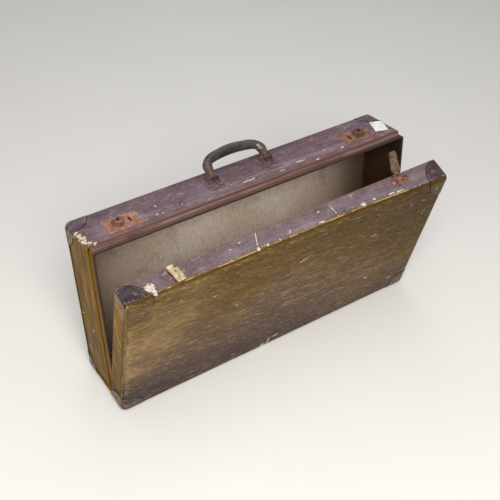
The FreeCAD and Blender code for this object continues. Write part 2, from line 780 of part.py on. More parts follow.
def build_lid():
    nodes = {}
    shell = capped(lid_shell(), "lid", lid_block, -rim_gap, lid_front_y, 1, lid_board, lid_cap_reach, nodes)
    leaf_rivets = hinge_rivets("lid", lid_board)
    for name, side in sides.items():
        rivets = hasp_rivets(side)
        shell = rivets.through(shell)
        nodes[f"hasp_plate_{name}"] = rivets.through(mirrored(hasp_plate(), side))
        nodes[f"hasp_plate_rivets_{name}"] = rivets.group()
        nodes[f"hasp_pin_{name}"] = mirrored(hasp_pin(), side)
        nodes[f"hinge_lid_leaf_{name}"] = leaf_rivets.through(mirrored(hinge_leaf("lid"), side))
    nodes["hinge_lid_rivets"] = leaf_rivets.group()
    nodes["lid_shell"] = leaf_rivets.through(shell)
    nodes["lid_lining"] = lid_lining()
    return nodes


def build_handle():
    nodes = {"handle_grip": handle_grip()}
    for name, side in sides.items():
        nodes[f"handle_ferrule_{name}"] = mirrored(handle_ferrule(), side)
    return nodes


def build_lock_slide(name):
    return {f"lock_knob_{name}": mirrored(lock_knob(), sides[name]),
            f"lock_bolt_{name}": mirrored(lock_bolt(), sides[name])}


def build_hasp(name):
    return {f"hasp_strap_{name}": mirrored(hasp_strap(), sides[name]),
            f"hasp_staple_{name}": mirrored(hasp_staple(), sides[name])}


def about_x(centre, degrees):
    turn = FreeCAD.Rotation(x_axis, degrees)
    return FreeCAD.Placement(vec(0, 0, 0), turn, centre)


def lean_deg():
    # How far the base leans back so that its rear edge and the lid's front edge stand on one floor.
    opening = math.radians(lid_opening_deg)
    base_y = base_depth - base_edge_radius - hinge_y
    base_z = base_edge_radius - hinge_z
    lid_y = lid_front_y + lid_edge_radius - hinge_y
    lid_z = lid_edge_radius - hinge_z
    across = base_y - lid_y * math.cos(opening) + lid_z * math.sin(opening)
    up = base_z - lid_y * math.sin(opening) - lid_z * math.cos(opening)
    radius_step = lid_edge_radius - base_edge_radius
    angle = math.atan2(up, across) + math.asin(radius_step / math.hypot(across, up))
    return math.degrees(angle)


hinge_line = vec(0, hinge_y, hinge_z)
hasp_line = vec(0, hasp_axis_y, hasp_axis_z)
handle_line = vec(0, pivot_y, pivot_z)
lean = about_x(hinge_line, -lean_deg())
lid_open = lean.multiply(about_x(hinge_line, lid_opening_deg))
groups = {
    "base": (lean, build_base()),
    "lid": (lid_open, build_lid()),
    "handle": (lean.multiply(about_x(handle_line, -handle_lean_deg)), build_handle()),
    "lock_slide_left": (lean, build_lock_slide("left")),
    "lock_slide_right": (lean, build_lock_slide("right")),
    "hasp_left": (lid_open.multiply(about_x(hasp_line, hasp_left_deg)), build_hasp("left")),
    "hasp_right": (lid_open.multiply(about_x(hasp_line, hasp_right_deg)), build_hasp("right")),
}

# Everything is set at rest, then moved so that the middle of its footprint is the origin.
base_rear_top = vec(0, base_depth - base_edge_radius, case_width - base_edge_radius)
base_rear_foot = vec(0, base_depth - base_edge_radius, base_edge_radius)
lid_front_top = vec(0, lid_front_y + lid_edge_radius, case_width - lid_edge_radius)
rear_reach = lean.multVec(base_rear_top).y + base_edge_radius + cap_proud
front_reach = lid_open.multVec(lid_front_top).y - lid_edge_radius - cap_proud
floor_level = lean.multVec(base_rear_foot).z - base_edge_radius - cap_proud
to_origin = FreeCAD.Placement(vec(0, -(rear_reach + front_reach) / 2, -floor_level), FreeCAD.Rotation())

os.makedirs("parts", exist_ok=True)
for placement, nodes in groups.values():
    at_rest = to_origin.multiply(placement).toMatrix()
    for node, shape in nodes.items():
        shape.transformed(at_rest).exportStep(f"parts/{node}.step")
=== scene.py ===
import json
import math

import bmesh
import bpy
from mathutils import Matrix, Vector

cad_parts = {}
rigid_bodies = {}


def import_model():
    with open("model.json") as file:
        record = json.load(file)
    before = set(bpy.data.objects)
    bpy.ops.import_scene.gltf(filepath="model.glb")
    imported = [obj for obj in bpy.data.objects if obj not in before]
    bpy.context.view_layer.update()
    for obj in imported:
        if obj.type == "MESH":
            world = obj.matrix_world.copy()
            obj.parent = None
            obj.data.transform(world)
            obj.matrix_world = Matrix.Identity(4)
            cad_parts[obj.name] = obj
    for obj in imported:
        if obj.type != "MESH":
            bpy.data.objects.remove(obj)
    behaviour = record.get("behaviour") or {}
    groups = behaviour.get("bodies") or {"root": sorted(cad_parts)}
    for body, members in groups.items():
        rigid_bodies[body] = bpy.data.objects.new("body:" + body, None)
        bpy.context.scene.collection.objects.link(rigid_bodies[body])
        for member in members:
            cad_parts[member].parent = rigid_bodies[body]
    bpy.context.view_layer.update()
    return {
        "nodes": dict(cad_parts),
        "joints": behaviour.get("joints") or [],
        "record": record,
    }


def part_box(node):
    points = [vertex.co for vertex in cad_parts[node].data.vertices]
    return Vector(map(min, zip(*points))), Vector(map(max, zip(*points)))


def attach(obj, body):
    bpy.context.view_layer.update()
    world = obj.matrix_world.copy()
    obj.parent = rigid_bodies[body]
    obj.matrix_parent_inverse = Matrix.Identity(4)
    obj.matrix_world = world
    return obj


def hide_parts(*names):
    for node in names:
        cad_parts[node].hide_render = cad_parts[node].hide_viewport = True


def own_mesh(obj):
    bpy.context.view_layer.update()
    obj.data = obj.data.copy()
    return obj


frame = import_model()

nodes = frame["nodes"]

# The case as it is when shut and upright: x along it, y from lid to back, z up from the hinge wall
case = {
    "length": 0.620, "width": 0.310, "baseDepth": 0.086, "lidDepth": 0.044, "rimGap": 0.0006,
    "wallRound": 0.012, "rimRound": 0.005, "baseRound": 0.010, "lidRound": 0.010,
    "baseBoard": 0.0034, "lidBoard": 0.0026, "hingeDrop": 0.0025, "lap": 0.014, "lapStep": 0.0005,
}
halfLength = case["length"] / 2
lidFace = -case["rimGap"] - case["lidDepth"]

joints = {joint["name"]: joint for joint in frame["joints"]}
mounts = {mount["name"]: mount for mount in frame["record"]["mounts"]}
hingePoint = Vector(joints["lid_hinge"]["pos_m"])
hingeWhenShut = Vector((0, -case["rimGap"] / 2, -case["hingeDrop"]))
backAxis = mounts["back_face"]["axis"]
faceAxis = mounts["lid_face"]["axis"]
baseLean = math.atan2(backAxis[2], backAxis[1])
lidLean = math.atan2(-faceAxis[2], -faceAxis[1])


def leaning(angle):
    turn = Matrix.Rotation(angle, 4, "X")
    return Matrix.Translation(hingePoint) @ turn @ Matrix.Translation(-hingeWhenShut)


baseTurn = leaning(baseLean)
lidTurn = leaning(lidLean)
print("case leans", round(math.degrees(baseLean), 2), "lid leans", round(math.degrees(lidLean), 2))


def tone(red, green, blue):
    # a colour as seen on a screen, 0 to 255, as the shader wants it
    def linear(value):
        value /= 255
        return value / 12.92 if value <= 0.04045 else ((value + 0.055) / 1.055) ** 2.4
    return (linear(red), linear(green), linear(blue), 1)


# Node helpers
flat = (0, 0, 0)  # no turn
noiseMiddle = 0.5
noiseSpread = (0.34, 0.66)  # most of a noise lies between these
speckEdge = {"choice": 0.02, "core": 0.6}
nearCore = 0.35  # how much of a band's reach is full


def startMaterial(name):
    material = bpy.data.materials.new(name)
    material.use_nodes = True
    tree = material.node_tree
    tree.nodes.clear()
    output = tree.nodes.new("ShaderNodeOutputMaterial")
    shader = tree.nodes.new("ShaderNodeBsdfPrincipled")
    tree.links.new(shader.outputs["BSDF"], output.inputs["Surface"])
    return material, tree, shader


def put(tree, socket, value):
    if isinstance(value, bpy.types.NodeSocket):
        tree.links.new(value, socket)
    else:
        socket.default_value = value


def calc(tree, kind, *values):
    node = tree.nodes.new("ShaderNodeMath")
    node.operation = kind
    for index, value in enumerate(values):
        put(tree, node.inputs[index], value)
    return node.outputs[0]


def chain(tree, kind, values):
    result = values[0]
    for value in values[1:]:
        result = calc(tree, kind, result, value)
    return result


def product(tree, *values):
    return chain(tree, "MULTIPLY", values)


def most(tree, *values):
    return chain(tree, "MAXIMUM", values)


def sway(tree, value, noise, amount):
    # moves a value up and down with a noise
    return calc(tree, "MULTIPLY_ADD", calc(tree, "SUBTRACT", noise, noiseMiddle), amount, value)


def awayFrom(tree, value, level):
    return calc(tree, "ABSOLUTE", calc(tree, "SUBTRACT", value, level))


def between(tree, share, low, high, start=0.0, stop=1.0):
    # low where the share is at start, high where it is at stop
    node = tree.nodes.new("ShaderNodeMapRange")
    put(tree, node.inputs["Value"], share)
    for socket, value in (("From Min", start), ("From Max", stop), ("To Min", low), ("To Max", high)):
        node.inputs[socket].default_value = value
    return node.outputs["Result"]


def fade(tree, value, none, full):
    # 0 where the value is at none, 1 where it is at full
    node = tree.nodes.new("ShaderNodeMapRange")
    node.interpolation_type = "SMOOTHSTEP"
    put(tree, node.inputs["Value"], value)
    node.inputs["From Min"].default_value = none
    node.inputs["From Max"].default_value = full
    return node.outputs["Result"]


def near(tree, value, level, reach):
    # 1 where the value is at the level, 0 beyond its reach
    return fade(tree, awayFrom(tree, value, level), reach, reach * nearCore)


def tint(tree, share, under, over, kind="MIX"):
    node = tree.nodes.new("ShaderNodeMix")
    node.data_type = "RGBA"
    node.blend_type = kind
    put(tree, node.inputs[0], share)
    put(tree, node.inputs[6], under)
    put(tree, node.inputs[7], over)
    return node.outputs[2]


def dim(tree, colour, factor):
    return tint(tree, 1.0, colour, factor, "MULTIPLY")


def shade(tree, colour, noise, low, high):
    # darkens and lightens a colour with a noise
    return dim(tree, colour, between(tree, noise, low, high, *noiseSpread))


def where(tree, at, *fades):
    # each fade has a measure's name, where it is 0 and where it is 1
    return product(tree, *[fade(tree, at[measure], none, full) for measure, none, full in fades])


def wash(tree, at, colour, over, strength, *fades):
    # lays a tone over a colour where all the fades let it through
    return tint(tree, product(tree, where(tree, at, *fades), strength), colour, over)


def placeOn(tree, turn=None):
    # object coordinates, turned back to the shut case where a turn is given
    coordinates = tree.nodes.new("ShaderNodeTexCoord").outputs["Object"]
    if turn is None:
        return coordinates
    back = turn.inverted()
    mapping = tree.nodes.new("ShaderNodeMapping")
    mapping.inputs["Location"].default_value = back.to_translation()
    mapping.inputs["Rotation"].default_value = back.to_euler()
    tree.links.new(coordinates, mapping.inputs["Vector"])
    return mapping.outputs["Vector"]


def split(tree, place):
    node = tree.nodes.new("ShaderNodeSeparateXYZ")
    tree.links.new(place, node.inputs[0])
    return node.outputs


def moved(tree, place, location, rotation, scale):
    # the place as a shifted, turned and stretched texture sees it
    mapping = tree.nodes.new("ShaderNodeMapping")
    mapping.vector_type = "TEXTURE"
    mapping.inputs["Location"].default_value = location
    mapping.inputs["Rotation"].default_value = rotation
    mapping.inputs["Scale"].default_value = scale
    tree.links.new(place, mapping.inputs["Vector"])
    return mapping.outputs["Vector"]


def grain(tree, place, scale, detail=3, rough=0.6, longer=(1, 1, 1), turn=flat, shift=(0, 0, 0)):
    # noise whose marks can be longer along one of its axes, which can be turned
    noise = tree.nodes.new("ShaderNodeTexNoise")
    tree.links.new(moved(tree, place, shift, turn, longer), noise.inputs["Vector"])
    noise.inputs["Scale"].default_value = scale
    noise.inputs["Detail"].default_value = detail
    noise.inputs["Roughness"].default_value = rough
    return noise.outputs["Fac"]


def measuresOn(tree, place, grains):
    # what a finish goes by: the place, its coordinates and the noises
    at = {name: grain(tree, place, **kind) for name, kind in grains.items()}
    at["place"] = place
    at["x"], at["y"], at["z"] = split(tree, place)
    return at


def cellsOf(tree, place, scale):
    # the distance to each cell's middle, and one random value for the cell
    cells = tree.nodes.new("ShaderNodeTexVoronoi")
    tree.links.new(place, cells.inputs["Vector"])
    cells.inputs["Scale"].default_value = scale
    return cells.outputs["Distance"], split(tree, cells.outputs["Color"])[0]


def specks(tree, place, scale, size, keep):
    # round specks in some of the cells
    distance, chance = cellsOf(tree, place, scale)
    chosen = fade(tree, chance, 1 - keep, 1 - keep + speckEdge["choice"])
    return product(tree, fade(tree, distance, size, size * speckEdge["core"]), chosen)


def ramp(tree, share, *stops):
    node = tree.nodes.new("ShaderNodeValToRGB")
    elements = node.color_ramp.elements
    elements[0].position, elements[0].color = stops[0]
    elements[1].position, elements[1].color = stops[-1]
    for position, colour in stops[1:-1]:
        elements.new(position).color = colour
    put(tree, node.inputs[0], share)
    return node.outputs["Color"]


def lengthOf(tree, vector):
    node = tree.nodes.new("ShaderNodeVectorMath")
    node.operation = "LENGTH"
    tree.links.new(vector, node.inputs[0])
    return node.outputs["Value"]


def depthIn(tree, place, centre, size, spin):
    # 1 in the middle of a patch, 0 at its edge and less outside
    return calc(tree, "SUBTRACT", 1.0, lengthOf(tree, moved(tree, place, centre, spin, size)))


def deepest(tree, place, patches):
    return most(tree, *[depthIn(tree, place, *patch) for patch in patches])


def coat(tree, shader, look, colour, roughness, height):
    tree.links.new(colour, shader.inputs["Base Color"])
    tree.links.new(roughness, shader.inputs["Roughness"])
    shader.inputs["Specular IOR Level"].default_value = look["specular"]
    shader.inputs["Metallic"].default_value = look["metallic"]
    bump = tree.nodes.new("ShaderNodeBump")
    bump.inputs["Distance"].default_value = look["bumpDepth"]
    bump.inputs["Strength"].default_value = look["bump"]
    tree.links.new(height, bump.inputs["Height"])
    tree.links.new(bump.outputs["Normal"], shader.inputs["Normal"])


# Board finish: varnished fibreboard, rubbed along its edges
baseScuffs = (  # bare patches: centre, half sizes and turn, on the shut case
    ((-0.3060, 0.0465, 0.3080), (0.0036, 0.0058, 0.0080), flat),
    ((-0.3045, 0.0350, 0.3090), (0.0040, 0.0062, 0.0080), flat),
    ((-0.3030, 0.0255, 0.3090), (0.0054, 0.0052, 0.0100), flat),
    ((-0.3045, 0.0160, 0.3085), (0.0042, 0.0058, 0.0080), flat),
    ((-0.2995, 0.0085, 0.3095), (0.0044, 0.0036, 0.0120), flat),
    ((-0.2930, 0.0026, 0.3100), (0.0042, 0.0024, 0.0120), flat),
    ((-0.1776, 0.0174, 0.310), (0.0024, 0.0022, 0.01), flat),
    ((-0.1684, 0.0144, 0.310), (0.0016, 0.0016, 0.01), flat),
    ((-0.1309, 0.0192, 0.310), (0.0013, 0.0013, 0.01), flat),
    ((-0.1693, 0.0395, 0.310), (0.0008, 0.0040, 0.01), flat),
    ((-0.0020, 0.0157, 0.310), (0.0130, 0.0022, 0.01), flat),
    ((0.1020, 0.0160, 0.310), (0.0110, 0.0018, 0.01), flat),
    ((0.1305, 0.0039, 0.310), (0.0040, 0.0022, 0.01), flat),
    ((0.1573, 0.0223, 0.310), (0.0020, 0.0020, 0.01), flat),
    ((0.1906, 0.0110, 0.310), (0.0040, 0.0020, 0.01), flat),
    ((-0.1984, 0.0130, 0.310), (0.0020, 0.0010, 0.01), flat),
    ((0.0600, 0.0090, 0.310), (0.0060, 0.0016, 0.01), flat),
    ((-0.2500, 0.0850, 0.308), (0.0060, 0.0014, 0.004), flat),
    ((-0.310, 0.030, 0.120), (0.01, 0.0010, 0.0080), (0.5, 0, 0)),
    ((-0.310, 0.060, 0.060), (0.01, 0.0010, 0.0090), (-0.4, 0, 0)),
    ((-0.310, 0.066, 0.135), (0.01, 0.0008, 0.0060), (0.9, 0, 0)),
)
lidScuffs = (
    ((-0.2650, -0.0238, 0.310), (0.0092, 0.0066, 0.012), (0, 0, 0.3)),
    ((-0.2612, -0.0312, 0.310), (0.0042, 0.0076, 0.012), flat),
    ((-0.0730, -0.0165, 0.310), (0.0008, 0.0160, 0.01), (0, 0, -0.42)),
    ((0.0752, -0.0180, 0.310), (0.0008, 0.0150, 0.01), (0, 0, 0.05)),
    ((-0.0153, -0.0255, 0.310), (0.0008, 0.0072, 0.01), (0, 0, -0.6)),
    ((0.1299, -0.0310, 0.309), (0.0050, 0.0035, 0.01), flat),
    ((0.1523, -0.0294, 0.310), (0.0030, 0.0020, 0.01), flat),
    ((0.0494, -0.0117, 0.310), (0.0024, 0.0014, 0.01), flat),
    ((0.1205, -0.0071, 0.310), (0.0009, 0.0032, 0.01), flat),
    ((0.1890, -0.0325, 0.309), (0.0065, 0.0016, 0.01), flat),
    ((0.2031, -0.0340, 0.309), (0.0060, 0.0014, 0.01), flat),
    ((0.0240, -0.0252, 0.310), (0.0012, 0.0010, 0.01), flat),
    ((0.0431, -0.0320, 0.310), (0.0045, 0.0020, 0.01), flat),
    ((-0.0790, -0.0330, 0.309), (0.0040, 0.0030, 0.01), flat),
    ((-0.1200, -0.0150, 0.310), (0.0020, 0.0012, 0.01), flat),
    ((-0.1000, -0.0090, 0.310), (0.0040, 0.0010, 0.01), (0, 0, 0.3)),
    ((-0.0265, -0.045, 0.0100), (0.0036, 0.01, 0.0060), flat),
    ((-0.0148, -0.045, 0.0179), (0.0016, 0.01, 0.0080), (0, 0.3, 0)),
    ((-0.0007, -0.045, 0.0246), (0.0070, 0.01, 0.0012), flat),
    ((0.2606, -0.045, 0.0450), (0.0050, 0.01, 0.0020), flat),
    ((-0.1575, -0.045, 0.2485), (0.0040, 0.01, 0.0010), (0, -0.3, 0)),
    ((-0.1105, -0.045, 0.1931), (0.0030, 0.01, 0.0012), flat),
    ((0.0160, -0.045, 0.2440), (0.0110, 0.01, 0.0008), (0, -0.42, 0)),
    ((0.1904, -0.045, 0.0875), (0.0030, 0.01, 0.0018), flat),
    ((0.2664, -0.045, 0.2675), (0.0018, 0.01, 0.0012), flat),
    ((0.2387, -0.045, 0.2680), (0.0014, 0.01, 0.0014), flat),
    ((0.2310, -0.045, 0.2771), (0.0020, 0.01, 0.0010), flat),
    ((0.2774, -0.045, 0.2271), (0.0018, 0.01, 0.0010), flat),
    ((0.1650, -0.045, 0.2250), (0.0060, 0.01, 0.0009), (0, -0.3, 0)),
    ((-0.2200, -0.045, 0.2750), (0.0030, 0.01, 0.0008), (0, -0.3, 0)),
)
baseRubs = (  # soft pale places where the varnish is thin
    ((-0.264, 0.028, 0.310), (0.030, 0.034, 0.03), flat),
    ((-0.206, 0.030, 0.310), (0.020, 0.026, 0.03), flat),
    ((0.072, 0.022, 0.310), (0.040, 0.014, 0.03), (0, 0, 0.2)),
    ((-0.060, 0.020, 0.310), (0.030, 0.012, 0.03), flat),
    ((0.205, 0.044, 0.310), (0.020, 0.020, 0.03), flat),
)
lidRubs = (
    ((0.018, -0.026, 0.310), (0.026, 0.014, 0.03), flat),
    ((-0.120, -0.020, 0.310), (0.036, 0.010, 0.03), flat),
    ((0.245, -0.020, 0.310), (0.030, 0.016, 0.03), flat),
)
# painted sheen: the wall, end and panel tones carry a grey veil put into the colour where the board's
# specular was turned down; gap is painted shade for gaps and openings, shadow painted shade under the crest
boardTones = {
    "baseWall": tone(105, 84, 90), "baseCool": tone(110, 95, 104), "baseDark": tone(79, 63, 67),
    "basePale": tone(144, 131, 137), "lidWall": tone(102, 86, 88), "lidCool": tone(110, 98, 103),
    "lidDark": tone(82, 69, 72), "lidPale": tone(134, 122, 124), "nearRim": tone(111, 86, 84),
    "endDark": tone(80, 60, 30), "end": tone(116, 87, 36), "endLight": tone(152, 118, 54),
    "high": tone(103, 80, 46), "middle": tone(100, 82, 64), "low": tone(85, 70, 62),
    "olive": tone(76, 60, 38), "tan": tone(130, 107, 76), "violet": tone(64, 54, 53),
    "line": tone(188, 152, 92), "gold": tone(164, 124, 56), "cream": tone(208, 192, 172),
    "hair": tone(172, 150, 118), "seamShadeOlive": tone(84, 61, 8), "warmEdge": tone(114, 88, 38),
    "gap": tone(22, 14, 8), "shadow": tone(64, 47, 18),
    "baseRaw": tone(100, 74, 70), "lidRaw": tone(124, 94, 82), "endRaw": tone(112, 83, 30),
}
trays = {
    "baseTray": {
        "open": 0.0, "closed": case["baseDepth"], "edgeRound": case["baseRound"], "board": case["baseBoard"],
        "soft": 0.0011, "body": "base", "turn": baseTurn, "replaced": "base_shell", "side": "base",
        "scuffs": baseScuffs, "rubs": baseRubs, "capReach": 0.038, "capDark": 0.20, "coolFront": 0.0,
        "smear": {"scale": 110, "detail": 4, "longer": (1, 1, 9), "turn": (-0.06, 0, 0)},
        "endShade": (0.80, 0.96), "redRim": 0.8, "crest": 0.35, "crestRise": 0.0, "frayed": False,
        "seamShade": {"at": 0.0135, "reach": 0.0034, "tone": "gap", "foot": 1.0},
    },
    "lidTray": {
        "open": -case["rimGap"], "closed": lidFace, "edgeRound": case["lidRound"], "board": case["lidBoard"],
        "soft": 0.0007, "body": "lid", "turn": lidTurn, "replaced": "lid_shell", "side": "lid",
        "scuffs": lidScuffs, "rubs": lidRubs, "capReach": 0.043, "capDark": 0.56, "coolFront": 0.7,
        "smear": {"scale": 150, "detail": 4, "longer": (1, 1, 5), "turn": (-0.78, 0, 0)},
        "endShade": (0.76, 1.32), "redRim": 0.3, "crest": 1.0, "crestRise": 0.0036, "frayed": True,
        "seamShade": {"at": 0.0095, "reach": 0.0055, "tone": "seamShadeOlive", "foot": 0.0},
    },
}
boardGrain = {
    "broad": {"scale": 7, "rough": 0.55},
    "cloud": {"scale": 36, "detail": 4, "rough": 0.62, "longer": (2.0, 1, 1)},
    "streak": {"scale": 240, "longer": (22, 1, 1)},
    "hair": {"scale": 620, "detail": 2, "rough": 0.5, "longer": (7, 1, 1), "turn": (0, 0.14, 0)},
    "brush": {"scale": 190, "detail": 4, "longer": (7, 1, 1), "turn": (0, 0.10, 0), "shift": (1, 4, 2)},
    "fine": {"scale": 420},
    "mottle": {"scale": 85, "detail": 6, "rough": 0.72, "longer": (1.6, 1, 1), "shift": (5, 2, 1)},
    "chip": {"scale": 150, "detail": 4, "rough": 0.7},
    "broken": {"scale": 60, "detail": 5, "rough": 0.75, "longer": (2, 1, 1), "shift": (2, 3, 5)},
}
scuffEdge = {"grain": {"scale": 360, "detail": 4, "rough": 0.75}, "ragged": 1.19, "cells": 460, "broken": 0.9}
edgeLines = {  # how far from the panel each line lies, and its reach
    "top": (0.0059, 0.0008), "foot": (0.0050, 0.0010), "end": (0.0036, 0.0018), "under": (0.0032, 0.0034),
}
frayThreads = {"upright": 2700.0, "along": 1500.0, "stray": 22.0}
boardSpecks = {"scale": 120, "size": 0.14, "keep": 0.030}
# cap edge marks: inside is a dark band of painted shade, bright a pale line of wear with painted highlight,
# outside a dark line of painted shade
capEdge = {"inside": 0.0014, "bright": 0.0022, "brightReach": 0.0010, "outside": 0.0004,
           "outsideReach": 0.0012}
boardLooks = {
    "board": {"specular": 0.03, "metallic": 0.0, "rough": (0.34, 0.52), "bumpDepth": 0.0006, "bump": 0.5},
    "cap": {"specular": 0.08, "metallic": 0.0, "rough": (0.14, 0.26), "bumpDepth": 0.0006, "bump": 0.5},
}
bareBoard = {"rough": 0.85, "sunk": 1.2}
middleReach = 0.30
sheenSweepPatch = {"x": -0.262, "z": 0.195, "size": (0.17, 0.1, 0.085), "spin": (0, -0.95, 0)}
panelShades = (("cloud", 0.87, 1.13), ("brush", 0.84, 1.16), ("hair", 0.72, 1.28), ("fine", 0.86, 1.14))
lowCornerShade = {"x": 0.29, "z": 0.02, "size": (0.16, 0.1, 0.09), "shares": ((-1, 0.75), (1, 0.45))}


def wallColour(tree, spec, at):
    # purple brown to blue grey, redder towards the rim
    wall, cool, dark, pale = (boardTones[spec["side"] + kind] for kind in ("Wall", "Cool", "Dark", "Pale"))
    mixed = sway(tree, at["broad"], at["cloud"], 0.7)
    colour = tint(tree, fade(tree, mixed, 0.44, 0.62), wall, cool)
    if spec["coolFront"]:
        # painted reflection: the lid's top wall is bluer towards its front edge
        colour = wash(tree, at, colour, cool, spec["coolFront"], ("panelGap", 0.034, 0.012))
        colour = wash(tree, at, colour, boardTones["warmEdge"], 0.85, ("panelGap", 0.0170, 0.0105),
                      ("x", 0.24, 0.10), ("cloud", 0.32, 0.52))
        colour = dim(tree, colour, between(tree, fade(tree, at["x"], -0.30, -0.06), 0.86, 1.0))
    else:
        front = near(tree, at["rimGap"], 0.017, 0.013)
        front = product(tree, front, where(tree, at, ("streak", 0.40, 0.56)), 0.4)
        colour = tint(tree, front, colour, pale)
        colour = wash(tree, at, colour, dark, 0.55, ("panelGap", 0.034, 0.012), ("middle", 0.12, 0.24))
    colour = wash(tree, at, colour, dark, 0.7, ("cloud", 0.54, 0.74))
    rubbed = sway(tree, deepest(tree, at["place"], spec["rubs"]), at["fine"], 0.9)
    colour = tint(tree, product(tree, fade(tree, rubbed, 0.0, 1.0), 0.42), colour, pale)
    colour = wash(tree, at, colour, boardTones["nearRim"], spec["redRim"], ("rimGap", 0.019, 0.007),
                  ("streak", 0.28, 0.48))
    colour = wash(tree, at, colour, dark, 0.6, ("streak", 0.58, 0.68), ("rimGap", 0.024, 0.010))
    colour = wash(tree, at, colour, pale, 0.55, ("mottle", 0.53, 0.66))
    colour = wash(tree, at, colour, dark, 0.60, ("mottle", 0.47, 0.34))
    colour = shade(tree, colour, at["streak"], 0.90, 1.10)
    return shade(tree, colour, at["fine"], 0.76, 1.24)


def endColour(tree, spec, at):
    # gold brown, with long smears
    colour = ramp(tree, at["smear"], (0.30, boardTones["endDark"]), (0.50, boardTones["end"]),
                  (0.70, boardTones["endLight"]))
    # the right end is browner, with less gold
    colour = wash(tree, at, colour, boardTones["middle"], 0.55, ("x", -0.1, 0.1))
    colour = dim(tree, colour, between(tree, fade(tree, at["z"], 0.02, 0.29), *spec["endShade"]))
    return shade(tree, colour, at["fine"], 0.76, 1.24)


def panelColour(tree, spec, at):
    # olive and gold above, brown and violet below, brushed along the case; the darker foot and lower corners
    # are partly painted shade
    rise = sway(tree, at["z"], at["broad"], 0.16)
    rise = sway(tree, rise, at["cloud"], 0.05)
    at["rise"] = calc(tree, "MULTIPLY_ADD", fade(tree, at["x"], 0.04, 0.27), 0.11, rise)
    colour = tint(tree, where(tree, at, ("rise", 0.03, 0.16)), boardTones["low"], boardTones["middle"])
    colour = tint(tree, where(tree, at, ("rise", 0.14, 0.27)), colour, boardTones["high"])
    toRight = between(tree, fade(tree, at["x"], -0.26, 0.26), 0.30, 0.96)
    colour = wash(tree, at, colour, boardTones["olive"], toRight, ("rise", 0.17, 0.31))
    # painted sheen: a tan sweep across the upper left of the panel
    centre = (sheenSweepPatch["x"], spec["closed"], sheenSweepPatch["z"])
    sheenSweep = depthIn(tree, at["place"], centre, sheenSweepPatch["size"], sheenSweepPatch["spin"])
    sheenSweep = fade(tree, sway(tree, sheenSweep, at["cloud"], 0.6), 0.0, 0.9)
    colour = tint(tree, product(tree, sheenSweep, 0.75), colour, boardTones["tan"])
    foot = product(tree, where(tree, at, ("rise", 0.085, 0.010), ("cloud", 0.40, 0.60)), 0.7)
    for side, share in lowCornerShade["shares"]:  # the lower corners are the darkest, partly painted shade
        centre = (side * lowCornerShade["x"], spec["closed"], lowCornerShade["z"])
        low = depthIn(tree, at["place"], centre, lowCornerShade["size"], flat)
        foot = most(tree, foot, product(tree, fade(tree, low, 0.0, 0.7), share))
    colour = tint(tree, foot, colour, boardTones["violet"])
    for noise, low, high in panelShades:
        colour = shade(tree, colour, at[noise], low, high)
    fewerAbove = between(tree, where(tree, at, ("rise", 0.22, 0.12)), 0.30, 0.60)
    return wash(tree, at, colour, boardTones["hair"], fewerAbove, ("hair", 0.58, 0.67), ("brush", 0.46, 0.58))


